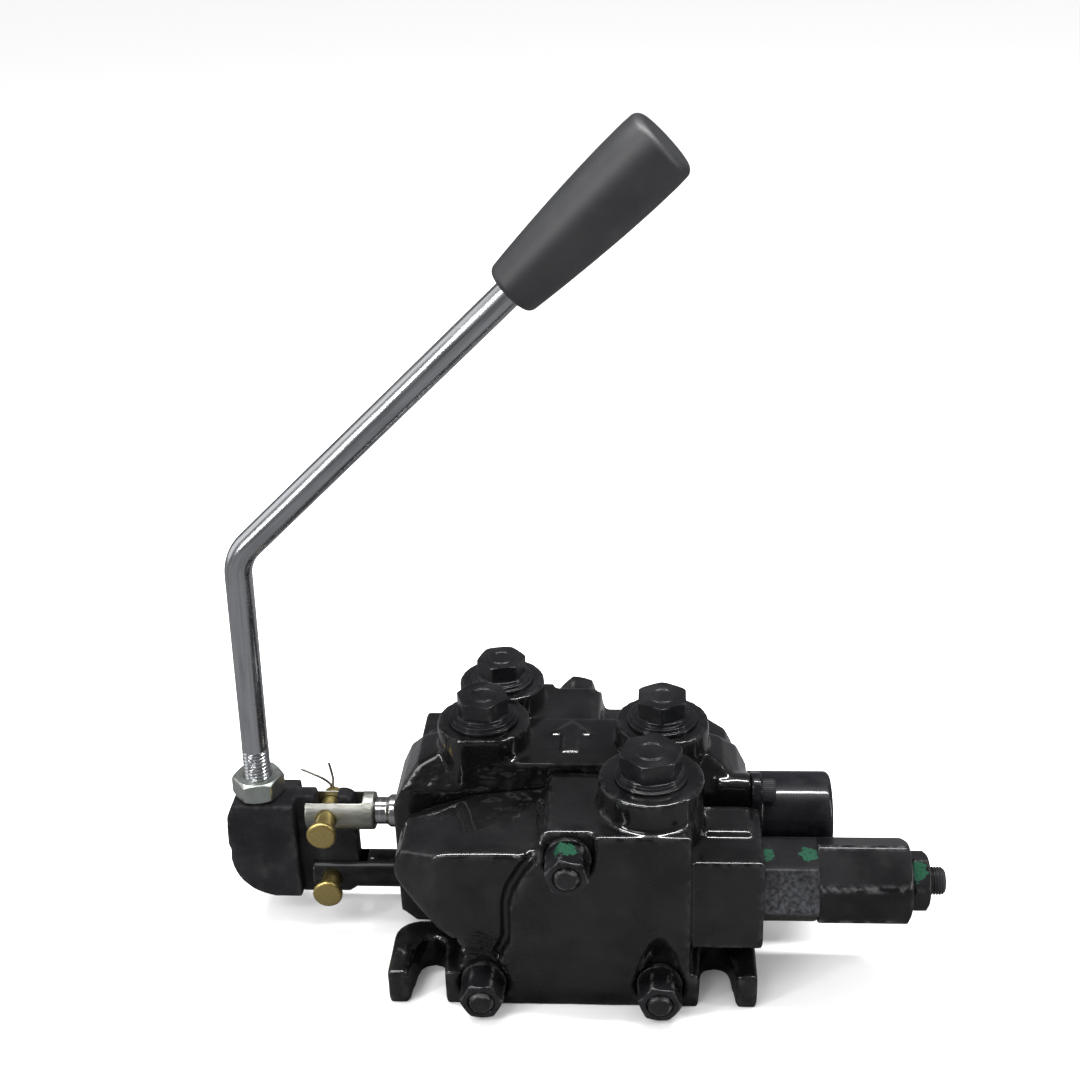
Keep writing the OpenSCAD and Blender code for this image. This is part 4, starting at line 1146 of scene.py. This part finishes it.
def clevis_pin(name, node):
    """A pin with a low domed head at the front, a cross hole's worth of plain shank and a bevelled tip."""
    lo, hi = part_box(node)
    length = hi.y - lo.y
    shank = 4.76 * MM
    head = 7.2 * MM
    corners = [(0, 0, 0, 0), (shank - 1.1 * MM, 0, 0.3 * MM, 0), (shank, 1.3 * MM, 0.4 * MM, 0),
               (shank, length - 3.0 * MM, 0.1 * MM, 0), (head - 0.3 * MM, length - 3.0 * MM, 0.25 * MM, 0),
               (head, length - 2.6 * MM, 0.3 * MM, 0), (head, length - 0.9 * MM, 0.5 * MM, 0),
               (head - 1.1 * MM, length - 0.15 * MM, 0.6 * MM, 0), (0, length, 0, 0)]
    spot = ((lo.x + hi.x) / 2, hi.y, (lo.z + hi.z) / 2)
    turned_piece(name, node, YELLOW_ZINC,
                 [stand(turned_rows(corners, sides=64, step=0.9 * MM), spot, AXES["front"])])


clevis_pin("clevis_pin_spool", "clevis_pin_upper")
clevis_pin("clevis_pin_pivot", "clevis_pin_lower")


def swept(path, radius, sides):
    """Rows of a round wire along a path in the XZ plane: at each station a circle spanned by the Y axis and
    by that axis crossed with the path's direction. Also the straightened coordinates."""
    way = np.gradient(path, axis=0)
    way /= np.linalg.norm(way, axis=1)[:, None]
    normal = np.array((0.0, 1.0, 0.0))
    side = np.cross(normal, way)
    angle = ROUND * np.arange(sides) / sides
    across = np.cos(angle)[None, :, None] * side[:, None, :]
    along = np.sin(angle)[None, :, None] * normal[None, None, :]
    radius = np.broadcast_to(np.asarray(radius, float), (len(path), sides))[..., None]
    rows = path[:, None, :] + (across + along) * radius
    travel = np.concatenate([[0], np.cumsum(np.linalg.norm(np.diff(path, axis=0), axis=1))])
    straight = np.stack([radius[..., 0] * np.cos(angle), radius[..., 0] * np.sin(angle),
                         np.repeat(travel[:, None], sides, 1)], -1)
    return rows, straight


def curve_through(points, count):
    """A smooth path through given points: each span is a Catmull-Rom cubic."""
    given = np.array(points, float)
    given = np.concatenate([[2 * given[0] - given[1]], given, [2 * given[-1] - given[-2]]])
    spans = len(given) - 3
    u = np.linspace(0, spans - 1e-9, count)
    i = u.astype(int)
    t = (u - i)[:, None]
    a, b, c, d = given[i], given[i + 1], given[i + 2], given[i + 3]
    return 0.5 * (2 * b + (c - a) * t + (2 * a - 5 * b + 4 * c - d) * t ** 2
                  + (3 * b - a - 3 * c + d) * t ** 3)


def cotter(name, node, pin_node, fold):
    """A split pin: one wire from the straight leg's tip, down through the pin, round the eye and back up into
    the leg that is folded over."""
    pin_lo, pin_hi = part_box(pin_node)
    lo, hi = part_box(node)
    x = (pin_lo.x + pin_hi.x) / 2
    z = (pin_lo.z + pin_hi.z) / 2
    y = (lo.y + hi.y) / 2
    wire = 0.65 * MM
    route = [(-0.5, 19.8), (0.3, 15), (0.8, 10.5), (0.5, 7), (0.46, 0), (0.46, -5.6), (1.3, -7.0),
             (2.35, -8.6), (1.7, -10.3), (0, -10.8), (-1.7, -10.3), (-2.35, -8.6), (-1.3, -7.0),
             (-0.46, -5.6), (-0.46, 0), (-0.4, 5.8), (-1.3, 8.0), *fold]
    path = curve_through([(x + a * MM, y, z + b * MM) for a, b in route], 150)
    rows, straight = swept(path, wire, 12)
    points, faces = capped(rows)
    lay, _ = capped(straight)
    put_mesh(name, points, faces, node, DARK_WIRE, {"lay": lay})


cotter("cotter_spool", "cotter_upper", "clevis_pin_upper", [(-4.6, 10.9), (-9.3, 13.5), (-14.6, 16.2)])
cotter("cotter_pivot", "cotter_lower", "clevis_pin_lower", [(-4.0, 10.0), (-6.8, 11.6)])

# ---- lever ---------------------------------------------------------------------------------------

LEAN = math.radians(1.7)
BEND = math.radians(44.9)
BEND_R = 22 * MM
BEND_RISE = 128.3 * MM
UPPER_RUN = 177.8 * MM
ROD_R = 6.35 * MM
ROD_PITCH = 1.95 * MM
THREAD_RUN = 27 * MM
SUNK = 20 * MM
nut_lo, nut_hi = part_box("lever_jam_nut")
grip_lo, grip_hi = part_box("grip")


def bend_corner():
    """Where the rod's two straight axes cross, up the leaning lower part from the foot of the jam nut."""
    middle = (nut_lo + nut_hi) / 2
    foot = bracket_top()
    rise = foot + BEND_RISE - middle.z
    return Vector((middle.x + rise * math.tan(LEAN), 0, foot + BEND_RISE))


def bracket_top():
    """Height of the bracket's boss, where the jam nut sits."""
    return nut_lo.z - 0.12 * MM


def make_lever_rod():
    """A round rod along two straights and the arc between them, from its sunk foot in the bracket up into the
    grip, with a rolled thread at the foot that stands a little proud of the plain rod."""
    corner = bend_corner()
    trim = BEND_R * math.tan(BEND / 2)
    low = BEND_RISE / math.cos(LEAN) + SUNK
    threads = np.arange(-low, -low + SUNK + THREAD_RUN + 10 * MM, 0.2 * MM)
    straight_low = np.linspace(threads[-1] + 0.002, -trim, 40)
    arc = np.linspace(0, BEND, 26)[1:]
    distance = np.concatenate([threads, straight_low])
    x = np.concatenate([np.zeros(len(distance)), BEND_R * (1 - np.cos(arc))])
    z = np.concatenate([distance, BEND_R * np.sin(arc) - trim])
    end = UPPER_RUN + 50 * MM
    run = np.linspace(trim, end, 60)[1:]
    x = np.concatenate([x, run * math.sin(BEND)])
    z = np.concatenate([z, run * math.cos(BEND)])
    path = np.stack([x * math.cos(LEAN) + z * math.sin(LEAN), np.zeros(len(x)),
                     z * math.cos(LEAN) - x * math.sin(LEAN)], -1) + np.array(corner)
    sides = 64
    travel = np.concatenate([[0], np.cumsum(np.linalg.norm(np.diff(path, axis=0), axis=1))])[:, None]
    angle = ROUND * np.arange(sides)[None, :] / sides
    radius = np.full((len(path), sides), ROD_R)
    radius = threaded(radius, angle, travel, ROD_PITCH, 0.9 * MM, [(-ROD_PITCH, SUNK + THREAD_RUN)])
    radius = radius + 0.1 * MM * step_up(SUNK + THREAD_RUN + 2 * MM - travel, 0, 1 * MM)
    rows, straight = swept(path, radius, sides)
    points, faces = capped(rows)
    lay, _ = capped(straight)
    put_mesh("lever_rod_bent", points, faces, "lever_rod", BRIGHT_ZINC, {"lay": lay})


def make_lever_nut():
    """The jam nut on the rod, leaning with it."""
    middle = (nut_lo + nut_hi) / 2
    spot = (middle.x - (middle.z - bracket_top()) * math.tan(LEAN), 0, bracket_top() + 0.5 * MM)
    rows = nut_rows(11.1 * MM, 10.5 * MM, ROD_R - 0.3 * MM, 10, True)
    turned_piece("lever_lock_nut", "lever_jam_nut", NUT_ZINC,
                 [stand(rows, spot, tilted_axes(LEAN), True)])


def make_grip():
    """A soft barrel, narrow at its foot, with a small foot bead, rounded rims and a slightly domed end."""
    corner = bend_corner()
    tilt = LEAN + BEND
    foot = corner + Vector((math.sin(tilt), 0, math.cos(tilt))) * UPPER_RUN
    corners = [(0, 0.6, 0, 0), (6.5, 0.6, 0, 0), (7.2, 0, 0.4, 0), (11.2, 0, 1.2, 0), (12.4, 1.8, 1.0, 0),
               (13.6, 14, 7, 0), (15.0, 32, 9, 0), (16.1, 50, 9, 0), (16.65, 66, 8, 0), (16.7, 79, 6, 0),
               (16.35, 85.4, 2.2, 0), (14.2, 87.5, 2.0, 0), (7, 87.95, 3, 0), (0, 88, 0, 0)]
    rows = turned_rows([(r * MM, h * MM, c * MM, f) for r, h, c, f in corners], sides=96, step=1.2 * MM)
    turned_piece("lever_grip", "grip", GRIP_PLASTIC, [stand(rows, foot, tilted_axes(tilt))])


make_lever_rod()
make_lever_nut()
make_grip()

# ---- CAD parts that keep their own shape --------------------------------------------------------------

KEPT = {
    "spool_bolt": SCREW_BLACK,
    "spring_seat_inner": SPRING_STEEL,
    "spring_seat_outer": SPRING_STEEL,
    "relief_poppet": GROUND_STEEL,
    "relief_spring_button": GROUND_STEEL,
    "relief_o_ring": SEAL_RUBBER,
    "spring_cap_seal": SEAL_RUBBER,
    "spool_seal_rings": SEAL_RUBBER,
    "section_seal_rings": SEAL_RUBBER,
    "port_plug_o_rings": SEAL_RUBBER,
    "load_check_poppet": GROUND_STEEL,
}
for kept, finish in KEPT.items():
    mesh = frame["nodes"][kept].data
    if not mesh.materials:
        mesh.materials.append(finish)
    for spot in frame["nodes"][kept].material_slots:
        spot.material = finish
